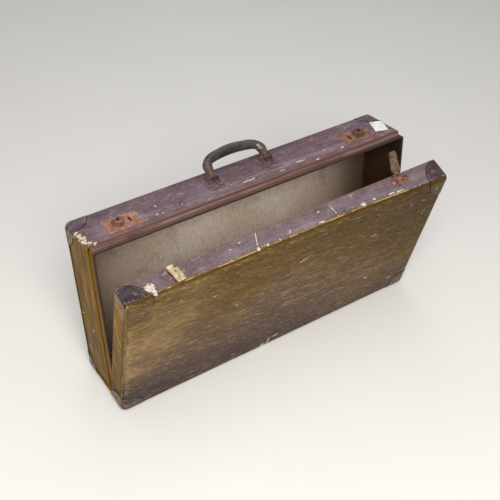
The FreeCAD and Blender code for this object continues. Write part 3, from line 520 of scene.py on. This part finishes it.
def boardFinish(name, spec, onCap=False):
    material, tree, shader = startMaterial(name)
    at = measuresOn(tree, placeOn(tree, spec["turn"]), boardGrain)
    place, x, y, z = (at[key] for key in ("place", "x", "y", "z"))
    at["smear"] = grain(tree, place, **spec["smear"])
    offMiddle = calc(tree, "ABSOLUTE", x)
    at["middle"] = calc(tree, "SUBTRACT", middleReach, offMiddle)
    at["endGap"] = calc(tree, "SUBTRACT", halfLength, offMiddle)
    at["panelGap"] = awayFrom(tree, y, spec["closed"])
    at["rimGap"] = awayFrom(tree, y, spec["open"])
    at["topGap"] = calc(tree, "SUBTRACT", case["width"], z)
    at["wallGap"] = calc(tree, "MINIMUM", at["topGap"], z)
    # the crest of the lid is rubbed further back along its middle
    rubbedBack = between(tree, fade(tree, x, 0.06, 0.28), spec["crestRise"], 0.0)
    at["crestGap"] = calc(tree, "SUBTRACT", at["panelGap"], rubbedBack)
    onEnd = where(tree, at, ("endGap", 0.0058, 0.0044))
    if onCap:
        onEnd = product(tree, onEnd, where(tree, at, ("wallGap", 0.0055, 0.0085)))
    onPanel = where(tree, at, ("crestGap", 0.0064, 0.0054))
    colour = tint(tree, onEnd, wallColour(tree, spec, at), endColour(tree, spec, at))
    colour = tint(tree, onPanel, colour, panelColour(tree, spec, at))

    # lines where the board turns, rubbed down to the paper, with painted shade under the crest and along the
    # seam
    crest = sway(tree, at["crestGap"], at["chip"], 0.0030)
    broken = where(tree, at, ("broken", 0.44, 0.52))
    topLine = product(tree, near(tree, crest, *edgeLines["top"]), where(tree, at, ("topGap", 0.0060, 0.0030)),
                      broken, spec["crest"])
    footLine = product(tree, near(tree, crest, *edgeLines["foot"]), where(tree, at, ("z", 0.0060, 0.0030)),
                       broken, 0.25)
    endLine = product(tree, near(tree, crest, *edgeLines["end"]),
                      where(tree, at, ("endGap", 0.0055, 0.0035), ("chip", 0.44, 0.56)), 0.7)
    # painted shade: a darker band under the crest, where the board rounds over
    under = product(tree, near(tree, at["crestGap"], *edgeLines["under"]),
                    where(tree, at, ("topGap", 0.0100, 0.0050)), 0.62 * spec["crest"])
    colour = tint(tree, under, colour, boardTones["shadow"])
    # painted shade: a dark line in the crevice of the seam where the boards lap over the ends
    lap = spec["seamShade"]
    footSeamShade = product(tree, near(tree, z, lap["at"], lap["reach"]), lap["foot"])
    seamShade = most(tree, near(tree, at["panelGap"], lap["at"], lap["reach"]), footSeamShade)
    seamShade = product(tree, seamShade, where(tree, at, ("endGap", 0.0036, 0.0020)), 0.85)
    colour = tint(tree, seamShade, colour, boardTones[lap["tone"]])
    colour = tint(tree, endLine, colour, boardTones["gold"])
    colour = tint(tree, most(tree, topLine, footLine), colour, boardTones["line"])

    # flakes beside the crest, and frayed threads down the end edge
    at["flakes"] = calc(tree, "ADD", at["chip"], product(tree, at["broad"], 0.3))
    bare = product(tree, where(tree, at, ("crestGap", 0.015, 0.009), ("crestGap", 0.0056, 0.0066),
                               ("topGap", 0.0050, 0.0030), ("flakes", 0.770, 0.795)), spec["crest"])
    if spec["frayed"]:
        stray = calc(tree, "MULTIPLY", at["cloud"], frayThreads["stray"])
        wave = calc(tree, "MULTIPLY_ADD", z, frayThreads["upright"], stray)
        wave = calc(tree, "MULTIPLY_ADD", x, frayThreads["along"], wave)
        at["threads"] = calc(tree, "SINE", wave)
        colour = wash(tree, at, colour, boardTones["line"], 0.5, ("threads", 0.1, 0.6), ("chip", 0.46, 0.54),
                      ("panelGap", 0.0030, 0.0020), ("endGap", 0.0130, 0.0060), ("endGap", 0.0020, 0.0034),
                      ("topGap", 0.03, 0.06))
    bare = most(tree, bare, product(tree, specks(tree, place, **boardSpecks), 0.7))

    # the cap's edge is a round one about the corner
    corner = tree.nodes.new("ShaderNodeCombineXYZ")
    for socket, gap in zip(corner.inputs, ("endGap", "panelGap", "wallGap")):
        tree.links.new(at[gap], socket)
    at["ring"] = lengthOf(tree, corner.outputs[0])
    capReach = spec["capReach"]
    dark, pale, raw = (boardTones[spec["side"] + kind] for kind in ("Dark", "Pale", "Raw"))
    if onCap:
        onWall = calc(tree, "SUBTRACT", 1.0, most(tree, onEnd, onPanel))
        cloudy = between(tree, where(tree, at, ("cloud", 0.35, 0.65)), 0.84, 1.04)
        colour = dim(tree, colour, calc(tree, "MULTIPLY_ADD", onWall, -spec["capDark"], cloudy))
        edgeStart = capReach - capEdge["inside"]
        # painted shade: a dark band just inside the cap's edge
        colour = wash(tree, at, colour, boardTones["gap"], 0.5, ("ring", edgeStart, capReach))
        # a pale line inside the cap's edge on the top wall: wear, with painted highlight
        bright = near(tree, at["ring"], capReach - capEdge["bright"], capEdge["brightReach"])
        bright = product(tree, bright, onWall, where(tree, at, ("cloud", 0.42, 0.56)), 0.6)
        colour = tint(tree, bright, colour, pale)
        bare = product(tree, bare, where(tree, at, ("chip", 0.55, 0.60)), 0.2)
        # a pale line along the cap's top corner edge: wear, with painted highlight
        wornAndGlint = near(tree, calc(tree, "SUBTRACT", at["endGap"], at["topGap"]), 0.0, 0.0012)
        wornAndGlint = product(tree, wornAndGlint, where(tree, at, ("endGap", 0.0070, 0.0050), ("chip", 0.50, 0.58)), 0.4)
        bare = most(tree, bare, wornAndGlint)
    else:
        torn = deepest(tree, place, spec["scuffs"])
        torn = sway(tree, torn, grain(tree, place, **scuffEdge["grain"]), scuffEdge["ragged"])
        torn = sway(tree, torn, cellsOf(tree, place, scuffEdge["cells"])[1], scuffEdge["broken"])
        bare = most(tree, bare, fade(tree, torn, 0.02, 0.14))
        colour = tint(tree, product(tree, fade(tree, torn, -0.55, -0.05), 0.6), colour, dark)
        # painted shade: a dark line around each cap where it meets the board
        capGapShade = near(tree, at["ring"], capReach + capEdge["outside"], capEdge["outsideReach"])
        colour = tint(tree, product(tree, capGapShade, 0.7), colour, boardTones["gap"])
        cutEdge = tint(tree, onEnd, raw, boardTones["endRaw"])
        colour = tint(tree, where(tree, at, ("rimGap", 0.0018, 0.0006)), colour, cutEdge)
    colour = tint(tree, bare, colour, shade(tree, boardTones["cream"], at["fine"], 0.62, 1.10))

    look = boardLooks["cap" if onCap else "board"]
    gloss = between(tree, where(tree, at, ("cloud", 0.3, 0.7)), *look["rough"])
    gloss = calc(tree, "MAXIMUM", gloss, product(tree, bare, bareBoard["rough"]))
    relief = calc(tree, "ADD", product(tree, at["fine"], 0.5), product(tree, at["hair"], 0.4))
    relief = calc(tree, "SUBTRACT", relief, product(tree, bare, bareBoard["sunk"]))
    coat(tree, shader, look, colour, gloss, relief)
    return material


# Board trays: one folded tray for the base and one for the lid
traySteps = {
    "grid": 0.0105, "lapSlope": 0.0007, "crown": 0.0022, "crownReach": 0.075, "swellScale": 0.22,
    "wallSegments": 6, "edgeSegments": 5, "softSegments": 3, "softAngle": math.radians(60),
    "smoothAngle": math.radians(38), "tiny": 1e-5, "cornerReach": 0.05, "facing": 0.9,
}
lockWindow = {"near": 0.21285, "far": 0.25415, "low": 0.01935, "high": 0.03965}


def pick(piece, kind, test):
    # selects the faces, edges or corners that pass the test
    bpy.ops.mesh.select_mode(type=kind)
    bpy.ops.mesh.select_all(action="DESELECT")
    mesh = bmesh.from_edit_mesh(piece.data)
    for part in {"FACE": mesh.faces, "EDGE": mesh.edges, "VERT": mesh.verts}[kind]:
        if test(part):
            part.select_set(True)
    mesh.select_flush_mode()
    bmesh.update_edit_mesh(piece.data)


def cutAcross(axis, levels):
    direction = [0, 0, 0]
    direction[axis] = 1
    for level in levels:
        spot = [0, 0, 0]
        spot[axis] = level
        bpy.ops.mesh.select_all(action="SELECT")
        bpy.ops.mesh.bisect(plane_co=spot, plane_no=direction, use_fill=False)


def levelsFrom(low, high):
    count = max(1, round((high - low) / traySteps["grid"]))
    return [low + (high - low) * index / count for index in range(1, count)]


def roundOff(radius, segments):
    bpy.ops.mesh.bevel(offset=radius, offset_type="OFFSET", segments=segments, profile=0.5,
                       clamp_overlap=False)


def settle(piece, turn, body, slot, material, *replaced):
    # puts a piece that was modelled on the shut case in its place and hands it to its body
    piece.matrix_world = turn
    bpy.ops.object.transform_apply(location=True, rotation=True, scale=True)
    piece.data.materials.clear()
    piece.data.materials.append(material)
    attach(piece, body)
    if replaced:
        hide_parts(*replaced)
    bpy.ops.object.select_all(action="DESELECT")


def foldTray(tray, spec):
    # opens the block at the rim and rounds its folds
    rim, panel, width = spec["open"], spec["closed"], case["width"]
    tiny = traySteps["tiny"]
    reach = traySteps["cornerReach"]
    pick(tray, "FACE", lambda face: abs(face.calc_center_median().y - rim) < tiny)
    bpy.ops.mesh.delete(type="ONLY_FACE")
    pick(tray, "EDGE", lambda edge: abs(edge.verts[0].co.y - edge.verts[1].co.y) > tiny)
    roundOff(case["wallRound"], traySteps["wallSegments"])
    ratio = case["rimRound"] / case["wallRound"]
    for side in (-1, 1):
        for level in (0, width):  # corners are tighter at the rim
            def atCorner(vert):
                inCorner = vert.co.x * side > halfLength - reach and abs(vert.co.z - level) < reach
                return abs(vert.co.y - rim) < tiny and inCorner
            pick(tray, "VERT", atCorner)
            bpy.ops.transform.resize(value=(ratio, 1, ratio), center_override=(side * halfLength, rim, level))
    pick(tray, "EDGE", lambda edge: max(abs(vert.co.y - panel) for vert in edge.verts) < tiny)
    roundOff(spec["edgeRound"], traySteps["edgeSegments"])


def lapEnds(tray, spec):
    # a grid for the crown, and the lines where the boards lap over the ends
    rim, panel, width = spec["open"], spec["closed"], case["width"]
    inward = math.copysign(1, rim - panel)
    lap = case["lap"]
    slope = traySteps["lapSlope"]
    cutAcross(0, levelsFrom(-halfLength + case["wallRound"], halfLength - case["wallRound"]))
    cutAcross(2, levelsFrom(case["wallRound"], width - case["wallRound"]))
    cutAcross(2, (lap, lap + slope, width - lap - slope, width - lap))
    lapEnd = panel + inward * lap
    cutAcross(1, (lapEnd, lapEnd + inward * slope))
    cutAcross(1, levelsFrom(min(lapEnd, rim), max(lapEnd, rim)))
    for side in (-1, 1):
        def onEndBoard(face):
            spot = face.calc_center_median()
            deep = (spot.y - lapEnd) * inward > slope
            inside = deep and lap + slope < spot.z < width - lap - slope
            return inside and face.normal.x * side > traySteps["facing"]
        pick(tray, "FACE", onEndBoard)
        bpy.ops.transform.translate(value=(-side * case["lapStep"], 0, 0))


def cutWindows(tray):
    # the lock cases sit in the top wall
    for side in (-1, 1):
        cutAcross(0, (side * lockWindow["near"], side * lockWindow["far"]))
    cutAcross(1, (lockWindow["low"], lockWindow["high"]))

    def inWindow(face):
        spot = face.calc_center_median()
        along = lockWindow["near"] < abs(spot.x) < lockWindow["far"]
        across = lockWindow["low"] < spot.y < lockWindow["high"]
        return along and across and face.normal.z > traySteps["facing"]
    pick(tray, "FACE", inWindow)
    bpy.ops.mesh.delete(type="FACE")


def thicken(tray, spec):
    # the panel swells a little between its edges, and the cut edges are soft
    swell = tray.vertex_groups.new(name="crown")
    for vertex in tray.data.vertices:
        if abs(vertex.co.y - spec["closed"]) < traySteps["tiny"]:
            gap = min(halfLength - abs(vertex.co.x), vertex.co.z, case["width"] - vertex.co.z)
            share = min(1, max(0, gap - case["lap"]) / traySteps["crownReach"])
            swell.add([vertex.index], share * share * (3 - 2 * share), "REPLACE")
    clouds = bpy.data.textures.new(tray.name + "Swell", "CLOUDS")
    clouds.noise_scale = traySteps["swellScale"]
    clouds.noise_depth = 1
    wave = tray.modifiers.new("swell", "DISPLACE")
    wave.texture = clouds
    wave.texture_coords = "LOCAL"
    wave.strength = traySteps["crown"]
    wave.mid_level = 0
    wave.vertex_group = "crown"
    wall = tray.modifiers.new("board", "SOLIDIFY")
    wall.thickness = spec["board"]
    wall.offset = -1
    soften = tray.modifiers.new("soften", "BEVEL")
    soften.width = spec["soft"]
    soften.segments = traySteps["softSegments"]
    soften.limit_method = "ANGLE"
    soften.angle_limit = traySteps["softAngle"]
    for modifier in list(tray.modifiers):
        bpy.ops.object.modifier_apply(modifier=modifier.name)
    bpy.ops.object.shade_smooth_by_angle(angle=traySteps["smoothAngle"])


def boardTray(name, spec):
    low, high = sorted((spec["open"], spec["closed"]))
    width = case["width"]
    bpy.ops.mesh.primitive_cube_add(size=1, location=(0, (low + high) / 2, width / 2),
                                    scale=(case["length"], high - low, width))
    tray = bpy.context.object
    tray.name = name
    bpy.ops.object.transform_apply(location=True, rotation=True, scale=True)
    bpy.ops.object.mode_set(mode="EDIT")
    foldTray(tray, spec)
    lapEnds(tray, spec)
    if spec["body"] == "base":
        cutWindows(tray)
    bpy.ops.mesh.select_all(action="SELECT")
    bpy.ops.mesh.normals_make_consistent(inside=False)
    bpy.ops.object.mode_set(mode="OBJECT")
    thicken(tray, spec)
    finish = boardFinish(name + "Board", spec)
    settle(tray, spec["turn"], spec["body"], "brown_board", finish, spec["replaced"])
    print("made", name, len(tray.data.polygons), "faces")


bpy.ops.object.select_all(action="DESELECT")
for trayName, traySpec in trays.items():
    boardTray(trayName, traySpec)


# Inner rim: bare board, streaked along its length
rimTones = {"dark": tone(100, 72, 66), "mid": tone(130, 101, 93), "light": tone(152, 126, 116),
            "end": tone(112, 79, 22), "endLight": tone(144, 107, 40), "smudgeAndShade": tone(62, 44, 38),
            "edge": tone(46, 30, 22)}
rimGrain = {"streak": {"scale": 220, "longer": (24, 1, 1)}, "upright": {"scale": 120, "longer": (1, 1, 12)},
            "blotch": {"scale": 34, "detail": 4, "longer": (2, 1, 1)}}
rimLook = {"specular": 0.12, "metallic": 0.0, "rough": (0.5, 0.72), "bumpDepth": 0.0006, "bump": 0.5}


def rimFinish():
    material, tree, shader = startMaterial("rimBoard")
    at = measuresOn(tree, placeOn(tree, baseTurn), rimGrain)
    along = tint(tree, where(tree, at, ("streak", 0.36, 0.64)), rimTones["dark"], rimTones["mid"])
    along = wash(tree, at, along, rimTones["light"], 0.6, ("streak", 0.54, 0.66))
    ends = tint(tree, where(tree, at, ("upright", 0.38, 0.62)), rimTones["end"], rimTones["endLight"])
    onEnd = fade(tree, calc(tree, "ABSOLUTE", at["x"]), 0.3020, 0.3036)
    colour = tint(tree, onEnd, along, ends)
    colour = wash(tree, at, colour, rimTones["smudgeAndShade"], 0.7, ("blotch", 0.54, 0.72))
    # painted shade: dark lines along the rim's inner edge and at its ends
    endEdgeShade = product(tree, onEnd, where(tree, at, ("y", -0.0052, -0.0036)))
    edges = most(tree, where(tree, at, ("y", -0.0160, -0.0168)), endEdgeShade)
    colour = tint(tree, product(tree, edges, 0.85), colour, rimTones["edge"])
    # painted shade over the front part of the rim, deeper to the right
    toRight = between(tree, fade(tree, at["x"], -0.1, 0.26), 0.55, 0.95)
    colour = wash(tree, at, colour, rimTones["smudgeAndShade"], toRight, ("y", -0.0070, -0.0125))
    coat(tree, shader, rimLook, colour, between(tree, at["blotch"], *rimLook["rough"]), at["streak"])
    return material


# Linings: pale paper, with painted shade towards the ends
liningTones = {"paper": tone(192, 176, 157), "pale": tone(216, 202, 184), "fibre": tone(124, 104, 84),
               "stain": tone(120, 95, 73), "speck": tone(86, 60, 42), "fleck": tone(104, 80, 62),
               "wall": tone(58, 38, 23), "wallDark": tone(36, 22, 12)}
liningGrain = {"cloudy": {"scale": 9, "detail": 4}, "stain": {"scale": 18, "detail": 5, "rough": 0.65},
               "fibre": {"scale": 380, "longer": (1, 1, 6), "turn": (0, 0.2, 0)},
               "grit": {"scale": 520, "rough": 0.65}}
liningSpecks = {"scale": 150, "size": 0.18, "keep": 0.08}
liningFlecks = {"scale": 420, "size": 0.25, "keep": 0.16}
liningLook = {"specular": 0.2, "metallic": 0.0, "rough": (0.72, 0.9), "bumpDepth": 0.0004, "bump": 0.4}


def liningFinish(name, turn, panelY):
    material, tree, shader = startMaterial(name)
    place = placeOn(tree, turn)
    at = measuresOn(tree, place, liningGrain)
    colour = tint(tree, where(tree, at, ("cloudy", 0.35, 0.66)), liningTones["paper"], liningTones["pale"])
    colour = wash(tree, at, colour, liningTones["fibre"], 0.4, ("fibre", 0.52, 0.70))
    colour = wash(tree, at, colour, liningTones["stain"], 0.45, ("stain", 0.54, 0.74))
    colour = tint(tree, specks(tree, place, **liningSpecks), colour, liningTones["speck"])
    flecks = product(tree, specks(tree, place, **liningFlecks), 0.7)
    colour = tint(tree, flecks, colour, liningTones["fleck"])
    colour = shade(tree, colour, at["grit"], 0.82, 1.14)
    # painted shade towards the ends and the hinge side, laid with the stain tone
    shadeTowards = most(tree, where(tree, at, ("x", -0.06, -0.31)), where(tree, at, ("x", 0.09, 0.29)),
                   product(tree, where(tree, at, ("z", 0.16, 0.0)), 0.8))
    at["liningShade"] = sway(tree, shadeTowards, at["stain"], 0.5)
    colour = wash(tree, at, colour, liningTones["stain"], 0.72, ("liningShade", 0.0, 1.0))
    # dark brown on the lining's walls, and painted shade on the panel towards the right end
    onWall = most(tree, fade(tree, awayFrom(tree, at["y"], panelY), 0.0022, 0.0050),
                  fade(tree, calc(tree, "ABSOLUTE", at["x"]), 0.288, 0.302),
                  product(tree, where(tree, at, ("x", 0.205, 0.300)), 0.8))
    wallTone = tint(tree, where(tree, at, ("stain", 0.4, 0.65)), liningTones["wall"], liningTones["wallDark"])
    colour = tint(tree, onWall, colour, wallTone)
    roughness = between(tree, at["stain"], *liningLook["rough"])
    coat(tree, shader, liningLook, colour, roughness, calc(tree, "ADD", at["fibre"], at["grit"]))
    return material


# Metal: old plating, rusty in places
rustTones = {  # metal, its bright and dark parts, and the rust on it
    "lockLeft": (tone(148, 104, 83), tone(172, 130, 108), tone(110, 72, 54), tone(158, 96, 60)),
    "lockRight": (tone(118, 83, 66), tone(142, 106, 88), tone(80, 50, 40), tone(144, 86, 48)),
    "hasp": (tone(96, 74, 62), tone(122, 98, 84), tone(60, 42, 34), tone(122, 80, 58)),
    "haspPlateLeft": (tone(114, 90, 88), tone(138, 114, 110), tone(78, 56, 54), tone(146, 104, 82)),
    "haspPlateRight": (tone(118, 78, 62), tone(146, 108, 90), tone(60, 38, 32), tone(154, 94, 68)),
    "bareHasp": (tone(196, 176, 146), tone(216, 198, 168), tone(146, 114, 84), tone(166, 124, 88)),
    "rivet": (tone(106, 80, 72), tone(136, 110, 98), tone(66, 46, 42), tone(148, 106, 82)),
    "capRivet": (tone(94, 72, 56), tone(122, 98, 78), tone(60, 44, 34), tone(128, 92, 64)),
    "lockRivet": (tone(128, 84, 66), tone(150, 106, 88), tone(86, 52, 40), tone(150, 88, 56)),
    "bracket": (tone(94, 73, 78), tone(122, 102, 104), tone(58, 42, 43), tone(124, 84, 64)),
    "ferrule": (tone(66, 49, 44), tone(94, 73, 65), tone(38, 27, 25), tone(108, 70, 50)),
    "plain": (tone(90, 66, 56), tone(122, 96, 80), tone(58, 38, 30), tone(128, 80, 54)),
    "knob": (tone(112, 78, 65), tone(140, 104, 88), tone(68, 45, 37), tone(136, 82, 54)),
    "knobRight": (tone(82, 56, 46), tone(108, 79, 66), tone(54, 36, 30), tone(108, 64, 42)),
}
usualMottle = 0.55
mottled = {"haspPlateRight": 0.95, "hasp": 0.8, "knobRight": 0.3, "bareHasp": 0.4}
slotY = (baseTurn @ Vector((0, 0.0295, case["width"]))).y
holes = {  # painted shade in openings and along edges: centre, half sizes and turn
    "lockLeft": (((-0.220, slotY, 0.315), (0.0023, 0.0088, 0.02), flat),),
    "lockRight": (((0.220, slotY, 0.315), (0.0023, 0.0088, 0.02), flat),),
    "knob": (((-0.24, 0.0560, 0.318), (0.0034, 0.0042, 0.02), flat),),
    "knobRight": (((0.24, 0.0560, 0.318), (0.0034, 0.0042, 0.02), flat),),
    "bareHasp": (((-0.2175, -0.0866, 0.314), (0.0017, 0.0019, 0.01), flat),
                 ((-0.2163, -0.0982, 0.315), (0.0017, 0.0019, 0.01), flat),
                 ((-0.2290, -0.0930, 0.314), (0.0022, 0.0300, 0.01), flat),
                 ((-0.2200, -0.1150, 0.316), (0.0200, 0.0024, 0.02), flat)),
}
rustGrain = {"cloudy": {"scale": 90, "detail": 5, "rough": 0.65},
             "pits": {"scale": 460, "detail": 4, "rough": 0.7},
             "bloom": {"scale": 170, "detail": 4, "shift": (3, 1, 2)}}
rustLook = {"specular": 0.3, "metallic": 0.12, "rough": (0.42, 0.72), "bumpDepth": 0.0005, "bump": 0.6}


def rustFinish(name):
    base, bright, dark, rusty = rustTones[name]
    material, tree, shader = startMaterial(name + "Rust")
    at = measuresOn(tree, placeOn(tree), rustGrain)
    colour = tint(tree, where(tree, at, ("cloudy", 0.38, 0.64)), base, bright)
    colour = wash(tree, at, colour, dark, mottled.get(name, usualMottle), ("bloom", 0.47, 0.60))
    colour = wash(tree, at, colour, rusty, 0.6, ("pits", 0.54, 0.68))
    if name in holes:
        # painted shade in the slots, keyholes and holes, and along the hasp's edges
        at["hole"] = deepest(tree, at["place"], holes[name])
        colour = wash(tree, at, colour, boardTones["gap"], 0.92, ("hole", 0.0, 0.3))
    roughness = between(tree, at["pits"], *rustLook["rough"])
    coat(tree, shader, rustLook, colour, roughness, calc(tree, "ADD", at["pits"], at["cloudy"]))
    return material


# Grip: dark leather, browner at its shoulders
gripTones = {"dark": tone(40, 31, 33), "light": tone(68, 57, 61), "shoulder": tone(92, 70, 60),
             "hair": tone(104, 88, 84)}
gripGrain = {"broad": {"scale": 40, "detail": 4}, "hairs": {"scale": 300, "longer": (7, 1, 1)}}
gripLook = {"specular": 0.8, "metallic": 0.0, "rough": (0.18, 0.36), "bumpDepth": 0.0004, "bump": 0.3}


def gripFinish():
    material, tree, shader = startMaterial("gripLeather")
    at = measuresOn(tree, placeOn(tree), gripGrain)
    at["offMiddle"] = calc(tree, "ABSOLUTE", at["x"])
    colour = tint(tree, where(tree, at, ("broad", 0.40, 0.66)), gripTones["dark"], gripTones["light"])
    colour = wash(tree, at, colour, gripTones["shoulder"], 0.6, ("offMiddle", 0.044, 0.058),
                  ("broad", 0.44, 0.60))
    colour = wash(tree, at, colour, gripTones["hair"], 0.4, ("hairs", 0.62, 0.76))
    coat(tree, shader, gripLook, colour, between(tree, at["hairs"], *gripLook["rough"]), at["hairs"])
    return material


# Label: a blank paper sticker
labelTones = {"pale": tone(226, 224, 220), "grey": tone(196, 192, 186), "fibre": tone(150, 142, 136)}
labelGrain = {"cloudy": {"scale": 90, "detail": 4}, "fine": {"scale": 500}}
labelLook = {"specular": 0.5, "metallic": 0.0, "rough": (0.6, 0.85), "bumpDepth": 0.0002, "bump": 0.4}


def labelFinish():
    material, tree, shader = startMaterial("labelPaper")
    at = measuresOn(tree, placeOn(tree), labelGrain)
    colour = tint(tree, where(tree, at, ("cloudy", 0.4, 0.7)), labelTones["pale"], labelTones["grey"])
    colour = wash(tree, at, colour, labelTones["fibre"], 0.7, ("fine", 0.58, 0.72))
    coat(tree, shader, labelLook, colour, between(tree, at["fine"], *labelLook["rough"]), at["fine"])
    return material


# The pieces that keep their own shape get their finishes
rust = {name: rustFinish(name) for name in rustTones}
finishes = {
    "inner_rim": rimFinish(), "paper_label": labelFinish(), "handle_grip": gripFinish(),
    "base_lining": liningFinish("baseLining", baseTurn, case["baseDepth"] - case["baseBoard"]),
    "lid_lining": liningFinish("lidLining", lidTurn, lidFace + case["lidBoard"]),
    "hasp_strap_left": rust["bareHasp"], "hasp_staple_left": rust["bareHasp"],
}
caps = {"base": boardFinish("baseCapFibre", trays["baseTray"], onCap=True),
        "lid": boardFinish("lidCapFibre", trays["lidTray"], onCap=True)}
kinds = (  # how a node's name starts, and its metal; the first that fits is taken
    ("lock_plate_rivets", "lockRivet"), ("lock_plate_right", "lockRight"), ("lock_plate", "lockLeft"),
    ("lock_knob_right", "knobRight"), ("lock_knob", "knob"), ("hasp_plate_rivets", "rivet"),
    ("hasp_plate_left", "haspPlateLeft"), ("hasp_plate_right", "haspPlateRight"), ("hasp", "hasp"),
    ("handle_bracket_rivets", "rivet"), ("handle_ferrule", "ferrule"), ("handle_bracket", "bracket"),
    ("base_cap_rivets", "capRivet"), ("lid_cap_rivets", "capRivet"),
)


def finishFor(node):
    if node in finishes:
        return finishes[node]
    for start, kind in kinds:
        if node.startswith(start):
            return rust[kind]
    if "_cap_" in node:
        return caps[node.split("_")[0]]
    return rust["plain"]


for nodeName, nodeObject in nodes.items():
    nodeObject.data.materials.clear()
    nodeObject.data.materials.append(finishFor(nodeName))
print("finished", len(nodes), "nodes")

# Lock springs: each bowed leaf is a merged, smooth-shaded copy of its CAD spring, carried by the base
springLeaf = {"keep": 0.2, "merge": 1e-6, "smooth": math.radians(40)}
for side in ("left", "right"):
    springNode = nodes["lock_spring_" + side]
    low, high = (Vector(corner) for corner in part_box("lock_spring_" + side))
    foot = (low + high) / 2
    foot.x = low.x if side == "left" else high.x  # where it leans on the case
    bpy.ops.object.select_all(action="DESELECT")
    springNode.select_set(True)
    bpy.context.view_layer.objects.active = springNode
    bpy.ops.object.duplicate()
    leaf = bpy.context.object
    leaf.name = "springLeaf_" + side
    bpy.ops.object.parent_clear(type="CLEAR_KEEP_TRANSFORM")
    bpy.ops.object.mode_set(mode="EDIT")
    bpy.ops.mesh.select_all(action="SELECT")
    bpy.ops.mesh.remove_doubles(threshold=springLeaf["merge"])
    bpy.ops.object.mode_set(mode="OBJECT")
    bpy.ops.object.shade_smooth_by_angle(angle=springLeaf["smooth"])
    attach(leaf, "base")
    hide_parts("lock_spring_" + side)
    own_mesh(leaf)
bpy.ops.object.select_all(action="DESELECT")

# Floor
floorLook = {"reach": 30.0, "drop": 0.0004, "tone": tone(222, 220, 215), "shade": tone(216, 214, 209),
             "grain": {"scale": 3, "rough": 0.55}, "rough": 0.6}
bpy.ops.mesh.primitive_plane_add(size=floorLook["reach"], location=(0, 0, -floorLook["drop"]))
floor = bpy.context.object
floor.name = "floor"
floorMaterial, floorTree, floorShader = startMaterial("paleFloor")
floorNoise = grain(floorTree, placeOn(floorTree), **floorLook["grain"])
floorColour = tint(floorTree, floorNoise, floorLook["shade"], floorLook["tone"])
floorTree.links.new(floorColour, floorShader.inputs["Base Color"])
floorShader.inputs["Roughness"].default_value = floorLook["rough"]
floor.data.materials.append(floorMaterial)
bpy.ops.object.select_all(action="DESELECT")

# Light
lights = {
    "front": {"place": (-0.80, -1.55, 1.95), "size": 1.5, "power": 74, "tone": (1.0, 0.98, 0.96)},
    "overhead": {"place": (0.1, -0.1, 2.6), "size": 2.4, "power": 12, "tone": (1.0, 0.98, 0.97)},
    "left": {"place": (-2.3, -0.5, 1.1), "size": 1.6, "power": 8, "tone": (1.0, 0.97, 0.92)},
    "back": {"place": (0.9, 1.7, 1.9), "size": 1.6, "power": 6, "tone": (0.94, 0.96, 1.0)},
}
lightTarget = Vector((0, 0, 0.15))
for lightName, lightSpec in lights.items():
    bpy.ops.object.light_add(type="AREA", location=lightSpec["place"])
    lamp = bpy.context.object
    lamp.name = lightName
    lamp.data.shape = "DISK"
    lamp.data.size = lightSpec["size"]
    lamp.data.energy = lightSpec["power"]
    lamp.data.color = lightSpec["tone"]
    lamp.rotation_euler = (lightTarget - lamp.location).to_track_quat("-Z", "Y").to_euler()

studio = {"tone": (0.96, 0.97, 1.0, 1), "strength": 0.30}
world = bpy.data.worlds.new("studio")
bpy.context.scene.world = world
world.use_nodes = True
backdrop = world.node_tree.nodes["Background"]
backdrop.inputs["Color"].default_value = studio["tone"]
backdrop.inputs["Strength"].default_value = studio["strength"]
bpy.context.scene.view_settings.view_transform = "Standard"

# Camera
shot = {"place": (-0.6662, -0.9298, 1.1960), "target": (-0.0124, 0.0196, 0.1804), "roll": math.radians(2.00),
        "lens": 63.13, "sensor": 36}
bpy.ops.object.camera_add(location=shot["place"])
camera = bpy.context.object
aim = (Vector(shot["target"]) - camera.location).to_track_quat("-Z", "Y")
camera.rotation_euler = (aim.to_matrix() @ Matrix.Rotation(shot["roll"], 3, "Z")).to_euler()
camera.data.lens = shot["lens"]
camera.data.sensor_width = shot["sensor"]
bpy.context.scene.camera = camera
print("lit with", len(lights), "lights")
